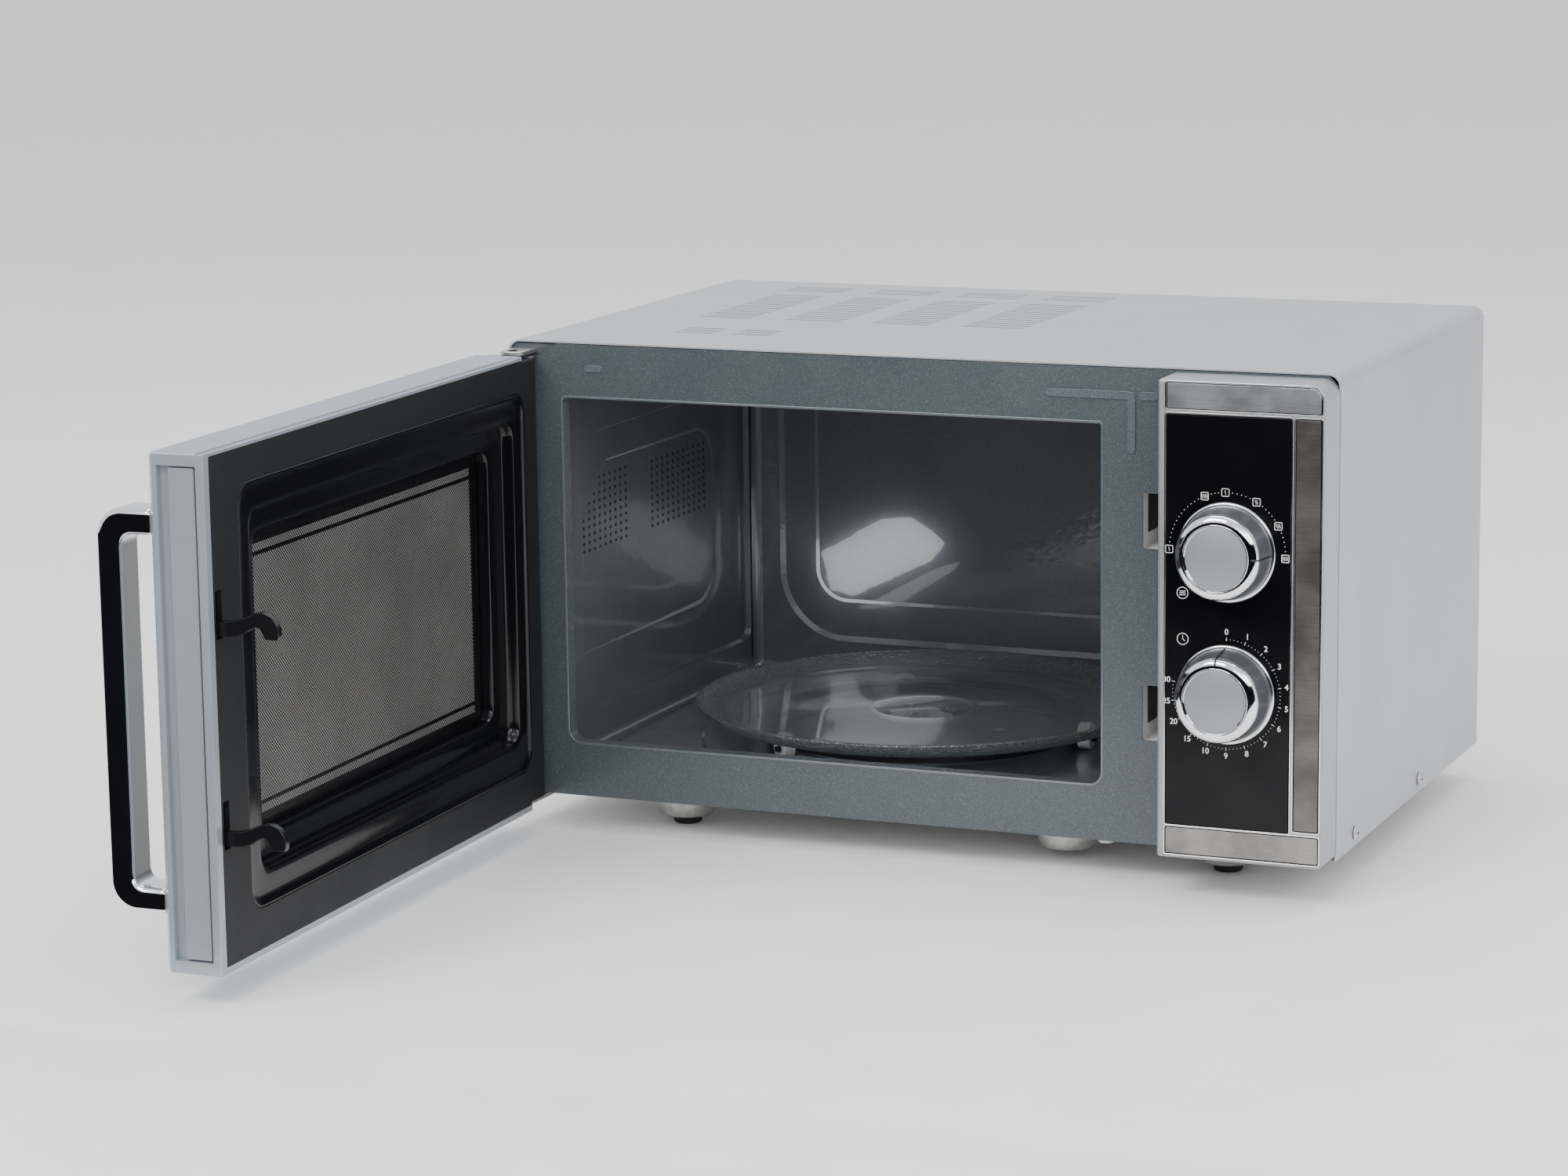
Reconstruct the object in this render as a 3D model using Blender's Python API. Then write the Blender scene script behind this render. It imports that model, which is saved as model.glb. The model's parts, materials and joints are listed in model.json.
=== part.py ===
"""Countertop microwave oven with a side-hinged door, two dials and a glass turntable.

Numbers are millimetres in the cabinet's own frame: x from the cabinet's left side, y back from
the plane of the front plate, z up from the surface that the feet stand on. The door is described
closed and is then turned about its hinge. ROW_ORIGIN moves everything to the finished frame,
whose origin is under the middle of the oven with its door open.
"""
import math

import bmesh
import bpy
from mathutils import Matrix, Vector

MM = 0.001
GAP = 0.3

# ---- driving dimensions -------------------------------------------------------------------
WIDTH = 483.0
TOP = 281.2
COVER_BOTTOM = 20.5
COVER_DEPTH = 306.0
SHEET = 1.0
COVER_RADIUS = 7.0
ROW_ORIGIN = (227.073, -36.306, 0.0)

OPENING = (32.2, 51.1, 352.2, 250.2)            # x0, z0, x1, z1 of the oven mouth
CAVITY = (21.7, 36.0, 362.3, 262.0)             # the same for the cavity's inner walls
CAVITY_DEPTH = 300.0
LATCH_SLOTS = ((78.3, 108.5), (183.0, 213.0))   # z ranges

HINGE = (9.5, -13.0)
HINGE_PIN = 3.0
DOOR_OPEN = 88.4                                # degrees open in the rest pose
DOOR = (1.5, 16.5, 388.5, 275.5)
DOOR_BACK = -1.0
DOOR_FRONT = -31.5
DOOR_WINDOW = (33.0, 58.0, 338.4, 240.0)
HOOK_X = (376.0, 380.0)
HOOK_BASES = (79.6, 184.2)                      # underside of each hook's neck

HANDLE_X = (365.0, 386.0)
HANDLE_Z = (44.5, 246.5)
HANDLE_OUT = -63.5
HANDLE_BAR = 13.0

PANEL = (392.5, 22.5, 482.7, 278.8)
PANEL_FRONT = -29.0
FASCIA = (397.2, 41.0, 464.9, 261.0)
TOP_STRIP = (397.4, 263.7, 481.0, 277.4)
SIDE_STRIP = (467.4, 42.4, 481.0, 260.9)
BOTTOM_STRIP = (397.2, 25.0, 481.0, 39.5)
KNOB_X = 430.7
POWER_Z = 189.2
TIMER_Z = 113.4

SPIN_CENTRE = (192.0, 150.0)
TRAY_RADIUS = 135.0
TRAY_BOTTOM = 48.6
TRAY_RIM = 60.0
WHEEL_RADIUS = 6.0
WHEEL_TRACK = 101.0
WHEEL_Z = 42.3
WHEEL_ANGLES = (-122.0, -2.0, 118.0)

FOOT_PLACES = (("front_left", 87.0, 42.0), ("front_right", 411.0, 41.0),
               ("rear_left", 87.0, 262.0), ("rear_right", 411.0, 262.0))
SPARE_CONE = (318.6, 41.4)
FAN_CENTRE = (424.0, 152.0)                     # x, z
SIDE_SCREW_Y = (36.0, 170.5)
SIDE_SCREW_Z = 28.0


# ---- materials ----------------------------------------------------------------------------
MATERIALS = {
    "silver_paint": ((0.70, 0.71, 0.73), 0.45, 0.3),
    "grey_enamel": ((0.10, 0.13, 0.15), 0.35, 0.2),
    "cavity_enamel": ((0.06, 0.07, 0.08), 0.2, 0.2),
    "zinc": ((0.55, 0.55, 0.53), 0.35, 1.0),
    "silver_plastic": ((0.45, 0.46, 0.47), 0.4, 0.2),
    "black_gloss": ((0.01, 0.01, 0.011), 0.08, 0.0),
    "brushed_trim": ((0.52, 0.50, 0.47), 0.3, 1.0),
    "chrome": ((0.80, 0.80, 0.80), 0.06, 1.0),
    "satin_silver": ((0.68, 0.68, 0.69), 0.32, 1.0),
    "light_plastic": ((0.62, 0.62, 0.60), 0.5, 0.0),
    "black_plastic": ((0.02, 0.02, 0.022), 0.5, 0.0),
    "white_plastic": ((0.82, 0.82, 0.80), 0.4, 0.0),
    "rubber": ((0.015, 0.015, 0.015), 0.85, 0.0),
    "dark_glass": ((0.01, 0.012, 0.013), 0.03, 0.0),
    "tray_glass": ((0.45, 0.55, 0.52), 0.05, 0.0),
    "film": ((0.05, 0.05, 0.055), 0.1, 0.0),
    "mica": ((0.58, 0.52, 0.40), 0.6, 0.0),
    "iron": ((0.12, 0.12, 0.13), 0.5, 0.8),
    "copper": ((0.60, 0.28, 0.14), 0.35, 1.0),
    "aluminium": ((0.70, 0.71, 0.72), 0.35, 1.0),
}


def material(node, look):
    """The node's own Principled material, after the named look."""
    colour, roughness, metallic = MATERIALS[look]
    made = bpy.data.materials.new(node + "_material")
    made.use_nodes = True
    shader = made.node_tree.nodes["Principled BSDF"]
    shader.inputs["Base Color"].default_value = (*colour, 1.0)
    shader.inputs["Roughness"].default_value = roughness
    shader.inputs["Metallic"].default_value = metallic
    made.diffuse_color = (*colour, 1.0)
    return made


# ---- groups: one empty on each moving body's axis -------------------------------------------
class Group:
    """An empty that carries a body, with the point of the cabinet frame that it stands on."""

    def __init__(self, name, pivot, parent=None, turn=0.0):
        self.pivot = Vector(pivot)
        self.empty = bpy.data.objects.new(name, None)
        bpy.context.collection.objects.link(self.empty)
        start = parent.pivot if parent else Vector(ROW_ORIGIN)
        self.empty.location = (self.pivot - start) * MM
        self.empty.rotation_euler = (0.0, 0.0, math.radians(turn))
        self.empty.parent = parent.empty if parent else None


def place(name, shape, group, look=None):
    """Turn a bmesh in millimetres into an object on its group; with no look it is a cutter."""
    bmesh.ops.translate(shape, vec=-group.pivot, verts=shape.verts)
    bmesh.ops.scale(shape, vec=(MM, MM, MM), verts=shape.verts)
    bmesh.ops.recalc_face_normals(shape, faces=shape.faces)
    mesh = bpy.data.meshes.new(name)
    shape.to_mesh(mesh)
    shape.free()
    mesh.shade_smooth()
    mesh.set_sharp_from_angle(angle=math.radians(35))
    made = bpy.data.objects.new(name, mesh)
    bpy.context.collection.objects.link(made)
    made.parent = group.empty
    if look:
        mesh.materials.append(material(name, look))
    else:
        made.hide_render = True
        made.display_type = "WIRE"
    return made


def combine(body, shape, group, operation):
    """Add a Boolean with a hidden helper object made from shape."""
    index = len(body.modifiers) + 1
    helper = place(f"{body.name}_helper_{index}", shape, group)
    modifier = body.modifiers.new(f"{operation.lower()}_{index}", "BOOLEAN")
    modifier.operation = operation
    modifier.solver = "EXACT"
    modifier.object = helper


def cut(body, shape, group):
    combine(body, shape, group, "DIFFERENCE")


def add(body, shape, group):
    combine(body, shape, group, "UNION")


# ---- shapes -------------------------------------------------------------------------------
def boxes(*corners):
    """Closed boxes, each from its low and high corner."""
    shape = bmesh.new()
    for low, high in corners:
        low = Vector(low)
        high = Vector(high)
        size = high - low
        matrix = Matrix.Translation((low + high) / 2) @ Matrix.Diagonal((*size, 1.0))
        bmesh.ops.create_cube(shape, size=1.0, matrix=matrix)
    return shape


def rounded(rect, radius, steps=4):
    """Rounded rectangle outline, anticlockwise from the lower right corner.

    radius is one number, or four for the lower right, upper right, upper left and lower left."""
    x0, z0, x1, z1 = rect
    radii = radius if isinstance(radius, tuple) else (radius,) * 4
    corners = ((x1, z0, -1, 1, -90), (x1, z1, -1, -1, 0), (x0, z1, 1, -1, 90), (x0, z0, 1, 1, 180))
    points = []
    for (x, z, inward_x, inward_z, start), r in zip(corners, radii):
        for i in range(steps + 1):
            angle = math.radians(start + 90.0 * i / steps)
            points.append((x + inward_x * r + r * math.cos(angle),
                           z + inward_z * r + r * math.sin(angle)))
    return points


def at(axis, point, along):
    """A point of the plane across an axis, lifted to the place along it."""
    a, b = point
    if axis == "x":
        return (along, a, b)
    if axis == "y":
        return (a, along, b)
    return (a, b, along)


def prism(outline, axis, low, high):
    """Outline in the plane across the axis, extruded from low to high."""
    shape = bmesh.new()
    ends = []
    for along in (low, high):
        ends.append([shape.verts.new(at(axis, point, along)) for point in outline])
    shape.faces.new(ends[0])
    shape.faces.new(reversed(ends[1]))
    count = len(outline)
    for i in range(count):
        j = (i + 1) % count
        shape.faces.new((ends[0][i], ends[1][i], ends[1][j], ends[0][j]))
    return shape


def ring_prism(outer, inner, axis, low, high):
    """The band between two outlines with equal point counts, extruded along the axis."""
    shape = bmesh.new()
    loops = []
    for outline, along in ((outer, low), (outer, high), (inner, high), (inner, low)):
        loops.append([shape.verts.new(at(axis, point, along)) for point in outline])
    count = len(outer)
    for k in range(4):
        first = loops[k]
        second = loops[(k + 1) % 4]
        for i in range(count):
            j = (i + 1) % count
            shape.faces.new((first[i], second[i], second[j], first[j]))
    return shape


def turned(profile, centre, axis, steps):
    """Profile of (radius, distance along the axis) spun about the axis through centre.

    A profile that starts and ends at radius 0 is solid; any other is a closed ring."""
    axis = Vector(axis)
    side = axis.orthogonal().normalized()
    shape = bmesh.new()
    verts = [shape.verts.new(Vector(centre) + side * r + axis * h) for r, h in profile]
    edges = [shape.edges.new(pair) for pair in zip(verts, verts[1:])]
    if profile[0][0] > 0.0:
        edges.append(shape.edges.new((verts[-1], verts[0])))
    bmesh.ops.spin(shape, geom=verts + edges, cent=centre, axis=axis, steps=steps,
                   angle=math.tau, use_merge=True)
    bmesh.ops.remove_doubles(shape, verts=shape.verts, dist=0.001)
    return shape


def disc(centre, axis, radius, low, high, steps=16):
    """A plain cylinder between two distances along its axis."""
    return turned([(0.0, low), (radius, low), (radius, high), (0.0, high)], centre, axis, steps)


def circle(centre, radius, steps, start=0.0):
    """Round outline."""
    return [(centre[0] + radius * math.cos(start + math.tau * i / steps),
             centre[1] + radius * math.sin(start + math.tau * i / steps)) for i in range(steps)]


def merged(*shapes):
    """Several bmeshes that don't touch, as one cutter."""
    whole = bmesh.new()
    for shape in shapes:
        mesh = bpy.data.meshes.new("part")
        shape.to_mesh(mesh)
        shape.free()
        whole.from_mesh(mesh)
        bpy.data.meshes.remove(mesh)
    return whole


def inset(rect, amount):
    return (rect[0] + amount, rect[1] + amount, rect[2] - amount, rect[3] - amount)


def slab(rect, y0, y1):
    """Box over a rectangle of the front view, between two depths."""
    return ((rect[0], y0, rect[1]), (rect[2], y1, rect[3]))


# ---- cabinet ------------------------------------------------------------------------------
VENT_PITCH = 9.0
VENT_SLIT = 3.8
VENT_ROWS = (
    # first slit's y, number of slits, x ranges
    (57.0, 3, ((77.0, 101.0), (112.0, 135.0))),
    (128.0, 13, ((61.0, 94.0), (114.0, 150.0), (168.0, 204.0), (224.0, 262.0))),
    (260.0, 3, ((58.0, 98.0), (114.0, 155.0), (170.0, 211.0), (225.0, 266.0))),
)


def outer_cover(group):
    """Sheet folded over the top and both sides, with vent slits in the top."""
    r = COVER_RADIUS
    outside = rounded((0.0, COVER_BOTTOM - r, WIDTH, TOP), r)[5:15]
    inside = rounded((SHEET, COVER_BOTTOM - r, WIDTH - SHEET, TOP - SHEET), r - SHEET)[5:15]
    outline = [(WIDTH, COVER_BOTTOM), *outside, (0.0, COVER_BOTTOM), (SHEET, COVER_BOTTOM),
               *reversed(inside), (WIDTH - SHEET, COVER_BOTTOM)]
    cover = place("outer_cover", prism(outline, "y", 0.0, COVER_DEPTH), group, "silver_paint")
    slits = []
    for first, count, columns in VENT_ROWS:
        for i in range(count):
            y = first + i * VENT_PITCH
            for x0, x1 in columns:
                slits.append(((x0, y, TOP - 3.0), (x1, y + VENT_SLIT, TOP + 2.0)))
    cut(cover, boxes(*slits), group)
    holes = [disc((side, y, SIDE_SCREW_Z), (1, 0, 0), 2.3, -3.0, 3.0, 8)
             for side in (0.0, WIDTH) for y in SIDE_SCREW_Y]
    cut(cover, merged(*holes), group)


def side_screws(group):
    """Zinc screws that hold the cover's lower edges."""
    for side, x, way in (("right", WIDTH, 1.0), ("left", 0.0, -1.0)):
        for place_name, y in zip(("front", "middle"), SIDE_SCREW_Y):
            profile = [(0.0, -12.0), (1.8, -12.0), (1.8, GAP), (4.0, GAP), (4.0, 1.2), (2.6, 2.2),
                       (0.0, 2.2)]
            screw = turned(profile, (x, y, SIDE_SCREW_Z), (way, 0, 0), 12)
            place(f"side_screw_{side}_{place_name}", screw, group, "zinc")


def front_plate(group):
    """Enamelled plate round the oven mouth, with latch slots and a bay for the controls."""
    edge = SHEET + 0.4
    outline = rounded((edge, COVER_BOTTOM + GAP, WIDTH - edge, TOP - edge), (0.5, 5.6, 5.6, 0.5), 3)
    plate = place("front_plate", prism(outline, "y", 0.2, 0.2 + SHEET), group, "grey_enamel")
    mouth = prism(rounded(OPENING, (7.0, 2.0, 2.0, 7.0)), "y", -2.0, 3.0)
    slots = boxes(*(((374.8, -2.0, z0), (386.5, 3.0, z1)) for z0, z1 in LATCH_SLOTS),
                  ((408.0, -2.0, 60.0), (470.0, 3.0, 250.0)))
    hinge_corner = prism([(-1.0, 266.0), (9.0, 272.8), (19.0, 272.8), (30.0, 283.0), (-1.0, 283.0)],
                         "y", -2.0, 3.0)
    cut(plate, merged(mouth, slots, hinge_corner), group)


def cavity_box(group):
    """Deep enamelled box behind the mouth: floor, roof, sides and back."""
    cavity = CAVITY
    outside = slab(inset(cavity, -SHEET), 1.6, CAVITY_DEPTH + SHEET)
    body = place("cavity_box", boxes(outside), group, "cavity_enamel")
    cut(body, boxes(slab(cavity, -5.0, CAVITY_DEPTH)), group)
    hub_hole = disc((*SPIN_CENTRE, cavity[1]), (0, 0, 1), 9.0, -4.0, 4.0)
    feed_hole = boxes(((cavity[2] - 2.0, 95.0, 175.0), (cavity[2] + 4.0, 175.0, 215.0)))
    lamp_hole = disc((cavity[2], 60.0, 232.0), (1, 0, 0), 8.0, -4.0, 4.0, 12)
    cut(body, merged(hub_hole, feed_hole, lamp_hole), group)


def microwave_feed(group):
    """Mica cover, waveguide, magnetron and lamp on the cavity's right wall."""
    wall = CAVITY[2]
    place("mica_cover", boxes(((wall - 1.3, 85.0, 165.0), (wall - GAP, 185.0, 225.0))), group, "mica")
    outer = ((wall + SHEET + GAP, 80.0, 166.0), (wall + 22.0, 200.0, 226.0))
    guide = place("waveguide", boxes(outer), group, "aluminium")
    cut(guide, boxes(((wall - 2.0, 81.0, 167.0), (wall + 21.0, 199.0, 225.0))), group)
    antenna_at = (wall + 22.0, 150.0, 196.0)
    cut(guide, disc(antenna_at, (1, 0, 0), 10.0, -6.0, 6.0), group)
    body = place("magnetron", boxes(((wall + 24.0, 106.0, 160.0), (wall + 84.0, 194.0, 232.0))),
                 group, "zinc")
    add(body, disc(antenna_at, (1, 0, 0), 8.0, -14.0, 6.0, 12), group)
    fins = [((wall + 34.0 + 9.0 * i, 100.0, 166.0), (wall + 39.0 + 9.0 * i, 130.0, 226.0))
            for i in range(5)]
    cut(body, boxes(*fins), group)
    lamp = [(0.0, 2.0), (6.5, 4.0), (6.5, 16.0), (10.0, 16.0), (10.0, 26.0), (0.0, 26.0)]
    place("cavity_lamp", turned(lamp, (wall, 60.0, 232.0), (1, 0, 0), 12), group, "white_plastic")


def power_parts(group):
    """Transformer and capacitor on the base, under the magnetron."""
    core = place("transformer", boxes(((392.0, 200.0, 24.0), (472.0, 252.0, 96.0))), group, "iron")
    add(core, boxes(((404.0, 190.0, 38.0), (460.0, 262.0, 82.0))), group)
    can = rounded((390.0, 100.0, 432.0, 176.0), 15.0)
    place("capacitor", prism(can, "z", 24.0, 60.0), group, "aluminium")


def cooling_fan(group):
    """Motor and square shroud behind the magnetron; the blades are their own body."""
    x, z = FAN_CENTRE
    square = [(x + 53.0, z - 53.0), (x + 53.0, z + 53.0), (x - 53.0, z + 53.0), (x - 53.0, z - 53.0)]
    shroud = place("fan_shroud", prism(square, "y", 270.0, 298.0), group, "black_plastic")
    cut(shroud, disc((x, 270.0, z), (0, 1, 0), 48.0, -5.0, 40.0, 24), group)
    motor = boxes(((x - 24.0, 246.0, z - 20.0), (x + 24.0, 268.0, z + 20.0)))
    body = place("fan_motor", motor, group, "iron")
    cut(body, disc((x, 0.0, z), (0, 1, 0), 2.6, 262.0, 272.0, 12), group)


def fan_blades(parent):
    """Five twisted blades on a hub, with the shaft into the motor."""
    x, z = FAN_CENTRE
    group = Group("fan_axis", (x, 282.0, z), parent)
    outline = []
    for blade in range(5):
        start = math.tau * blade / 5
        for r, turn in ((12.0, 0.0), (44.0, 0.12), (44.0, 0.38), (12.0, 0.5), (12.0, 0.9)):
            outline.append((r, start + turn))
    shape = bmesh.new()
    ends = []
    for y, twist in ((276.0, 0.0), (292.0, 0.45)):
        ends.append([shape.verts.new((x + r * math.cos(a + twist), y, z + r * math.sin(a + twist)))
                     for r, a in outline])
    shape.faces.new(ends[0])
    shape.faces.new(reversed(ends[1]))
    for i in range(len(outline)):
        j = (i + 1) % len(outline)
        shape.faces.new((ends[0][i], ends[1][i], ends[1][j], ends[0][j]))
    fan = place("fan_blade", shape, group, "white_plastic")
    add(fan, disc((x, 0.0, z), (0, 1, 0), 2.0, 263.0, 280.0, 10), group)


def base_plate(group):
    """Bottom sheet with pressed cones that carry the feet."""
    edge = SHEET + 0.4
    low = COVER_BOTTOM + 0.5
    sheet = boxes(((edge, 1.6, low), (WIDTH - edge, COVER_DEPTH - 1.6, low + SHEET)))
    base = place("base_plate", sheet, group, "zinc")
    outer = [(0.0, 5.0), (11.0, 5.0), (20.0, low + 0.5), (0.0, low + 0.5)]
    inner = [(0.0, 6.0), (10.2, 6.0), (19.2, low + 0.5), (19.2, low + 3.0), (0.0, low + 3.0)]
    centres = [(x, y) for _, x, y in FOOT_PLACES] + [SPARE_CONE]
    add(base, merged(*(turned(outer, (*c, 0.0), (0, 0, 1), 20) for c in centres)), group)
    cut(base, merged(*(turned(inner, (*c, 0.0), (0, 0, 1), 20) for c in centres)), group)
    stems = [disc((*c, 0.0), (0, 0, 1), 2.8, 2.0, 9.0, 12) for c in centres[:4]]
    cut(base, merged(*stems), group)


def feet(group):
    """Rubber feet, each with a stem through its cone."""
    profile = [(0.0, 0.0), (7.2, 0.0), (8.0, 0.8), (8.0, 4.7), (2.3, 4.7), (2.3, 9.5), (0.0, 9.5)]
    for name, x, y in FOOT_PLACES:
        place(f"foot_{name}", turned(profile, (x, y, 0.0), (0, 0, 1), 16), group, "rubber")


def back_panel(group):
    """Rear sheet with a pressed bulge behind the cavity, fan slots and the cord's hole."""
    edge = SHEET + 0.4
    y0 = COVER_DEPTH - 1.3
    outline = rounded((edge, COVER_BOTTOM + 0.5, WIDTH - edge, TOP - edge), (0.5, 5.6, 5.6, 0.5), 3)
    panel = place("back_panel", prism(outline, "y", y0, y0 + SHEET), group, "zinc")
    bulge = (50.0, 60.0, 335.0, 240.0)
    add(panel, prism(rounded(bulge, 20.0), "y", y0 + 0.2, y0 + 15.0), group)
    cut(panel, prism(rounded(inset(bulge, SHEET), 19.0), "y", y0 - 3.0, y0 + 14.0), group)
    x, z = FAN_CENTRE
    slots = [((x - 40.0, y0 - 3.0, z - 38.0 + 12.0 * i), (x + 40.0, y0 + 3.0, z - 34.0 + 12.0 * i))
             for i in range(7)]
    cut(panel, boxes(*slots, ((430.0, y0 - 3.0, 44.0), (444.0, y0 + 3.0, 58.0))), group)


def cord_gland(group):
    """Plastic bush in the back panel's hole."""
    y0 = COVER_DEPTH - 1.3
    outline = rounded((430.4, 44.4, 443.6, 57.6), 1.5, 2)
    bush = place("cord_gland", prism(outline, "y", y0 - 6.0, y0 + SHEET + GAP), group, "black_plastic")
    flange = prism(rounded((427.0, 41.0, 447.0, 61.0), 3.0, 2), "y", y0 + SHEET + GAP, y0 + 7.0)
    add(bush, flange, group)
    cut(bush, disc((437.0, y0, 51.0), (0, 1, 0), 3.9, -10.0, 12.0, 12), group)


def turntable_motor(group):
    """Flat synchronous motor between the base and the cavity floor."""
    profile = [(0.0, 22.4), (24.0, 22.4), (24.0, 34.6), (4.2, 34.6), (4.2, 28.0), (0.0, 28.0)]
    motor = turned(profile, (*SPIN_CENTRE, 0.0), (0, 0, 1), 24)
    place("turntable_motor", motor, group, "zinc")


def latch_housing(group):
    """Moulded block behind the plate that takes the two hooks, and its switches."""
    housing = place("latch_housing", boxes(((366.0, 1.5, 66.0), (390.0, 44.0, 226.0))), group,
                    "light_plastic")
    hollows = [((373.8, -2.0, z0 - 1.0), (387.6, 40.0, z1 + 1.0)) for z0, z1 in LATCH_SLOTS]
    hollows.append(((370.0, 6.0, 118.0), (388.0, 60.0, 174.0)))
    cut(housing, boxes(*hollows), group)
    for name, z in (("lower", 84.0), ("upper", 188.0)):
        body = boxes(((372.0, 45.0, z), (384.0, 61.0, z + 28.0)))
        switch = place(f"door_switch_{name}", body, group, "black_plastic")
        blades = [((375.0, 60.0, z + 4.0 + 9.0 * i), (381.0, 68.0, z + 5.0 + 9.0 * i)) for i in range(3)]
        add(switch, boxes(*blades), group)


def hinge_brackets(group):
    """Two plates with a pin each, above and below the door's hinge end."""
    x, y = HINGE
    for name, z0, z1, pin0, pin1, leg in (("upper", 274.3, 276.7, 262.0, 275.0, (250.0, 275.0)),
                                          ("lower", 17.6, 20.0, 19.0, 33.0, None)):
        tongue = boxes(((x - 6.5, y - 7.0, z0), (x + 7.5, 20.0, z1)))
        bracket = place(f"hinge_bracket_{name}", tongue, group, "zinc")
        add(bracket, disc((x, y, 0.0), (0, 0, 1), HINGE_PIN, pin0, pin1, 16), group)
        if leg:
            add(bracket, boxes(((x - 6.5, 1.6, leg[0]), (x + 7.5, 4.0, leg[1]))), group)


# ---- control panel ------------------------------------------------------------------------
def control_bezel(group):
    """Hollow moulding with recesses for the fascia and the three trim strips."""
    outline = rounded(PANEL, (2.0, 9.0, 1.0, 1.0), 5)
    bezel = place("control_bezel", prism(outline, "y", PANEL_FRONT, -GAP), group, "silver_plastic")
    add(bezel, boxes(((390.8, -8.0, 22.5), (393.5, -GAP, 272.0))), group)
    hollow = rounded(inset(PANEL, 2.5), (1.0, 6.5, 1.0, 1.0), 4)
    cut(bezel, prism(hollow, "y", PANEL_FRONT + 3.0, 3.0), group)
    recesses = [prism(rounded(FASCIA, 1.0, 1), "y", PANEL_FRONT - 1.0, PANEL_FRONT + 1.0),
                prism(rounded(SIDE_STRIP, 1.0, 1), "y", PANEL_FRONT - 1.0, PANEL_FRONT + 1.0),
                prism(rounded(BOTTOM_STRIP, 1.0, 1), "y", PANEL_FRONT - 1.0, PANEL_FRONT + 1.0),
                prism(rounded(TOP_STRIP, (1.0, 6.0, 1.0, 1.0), 3), "y", PANEL_FRONT - 1.0,
                      PANEL_FRONT + 1.0)]
    cut(bezel, merged(*recesses), group)
    holes = [disc((KNOB_X, 0.0, z), (0, 1, 0), 4.6, PANEL_FRONT - 4.0, PANEL_FRONT + 5.0)
             for z in (POWER_Z, TIMER_Z)]
    cut(bezel, merged(*holes), group)


def panel_inlays(group):
    """Gloss fascia and brushed strips, each a thin plate in its recess."""
    back = PANEL_FRONT + 1.0 - GAP
    front = back - 0.9
    fascia = place("fascia_panel", prism(rounded(inset(FASCIA, GAP), 0.7, 1), "y", front, back),
                   group, "black_gloss")
    holes = [disc((KNOB_X, 0.0, z), (0, 1, 0), 4.6, front - 2.0, back + 2.0)
             for z in (POWER_Z, TIMER_Z)]
    cut(fascia, merged(*holes), group)
    for name, rect, radius, steps in (("trim_strip_side", SIDE_STRIP, 0.7, 1),
                                      ("trim_strip_bottom", BOTTOM_STRIP, 0.7, 1),
                                      ("trim_strip_top", TOP_STRIP, (0.7, 5.7, 0.7, 0.7), 3)):
        plate = prism(rounded(inset(rect, GAP), radius, steps), "y", front, back)
        place(name, plate, group, "brushed_trim")


def control_units(group):
    """Mechanical timer and power selector behind the panel."""
    for name, z, depth, half in (("timer_unit", TIMER_Z, 26.0, 21.0),
                                 ("power_selector", POWER_Z, 14.0, 17.0)):
        front = PANEL_FRONT + 3.0 + GAP
        body = boxes(((KNOB_X - half, front, z - half), (KNOB_X + half, depth, z + half)))
        unit = place(name, body, group, "light_plastic")
        cut(unit, disc((KNOB_X, 0.0, z), (0, 1, 0), 3.7, front - 2.0, -9.0, 12), group)


def knob(name, z, parent):
    """Dial of three pieces: tapered skirt, chrome ring, and satin cap with the shaft."""
    group = Group(f"{name}_axis", (KNOB_X, PANEL_FRONT, z), parent)
    centre = (KNOB_X, 0.0, z)
    out = (0, -1, 0)
    skirt = [(3.5, 29.6), (26.7, 29.6), (26.7, 31.4), (25.0, 32.4), (22.8, 46.0), (3.5, 46.0)]
    place(f"{name}_skirt", turned(skirt, centre, out, 32), group, "satin_silver")
    ring = [(18.7, 46.3), (22.6, 46.3), (22.6, 47.2), (20.6, 49.6), (18.7, 49.6)]
    place(f"{name}_ring", turned(ring, centre, out, 32), group, "chrome")
    cap = [(0.0, 12.0), (3.0, 12.0), (3.0, 46.3), (18.4, 46.3), (18.4, 49.3), (17.0, 50.2), (0.0, 50.2)]
    place(f"{name}_cap", turned(cap, centre, out, 32), group, "satin_silver")


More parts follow.
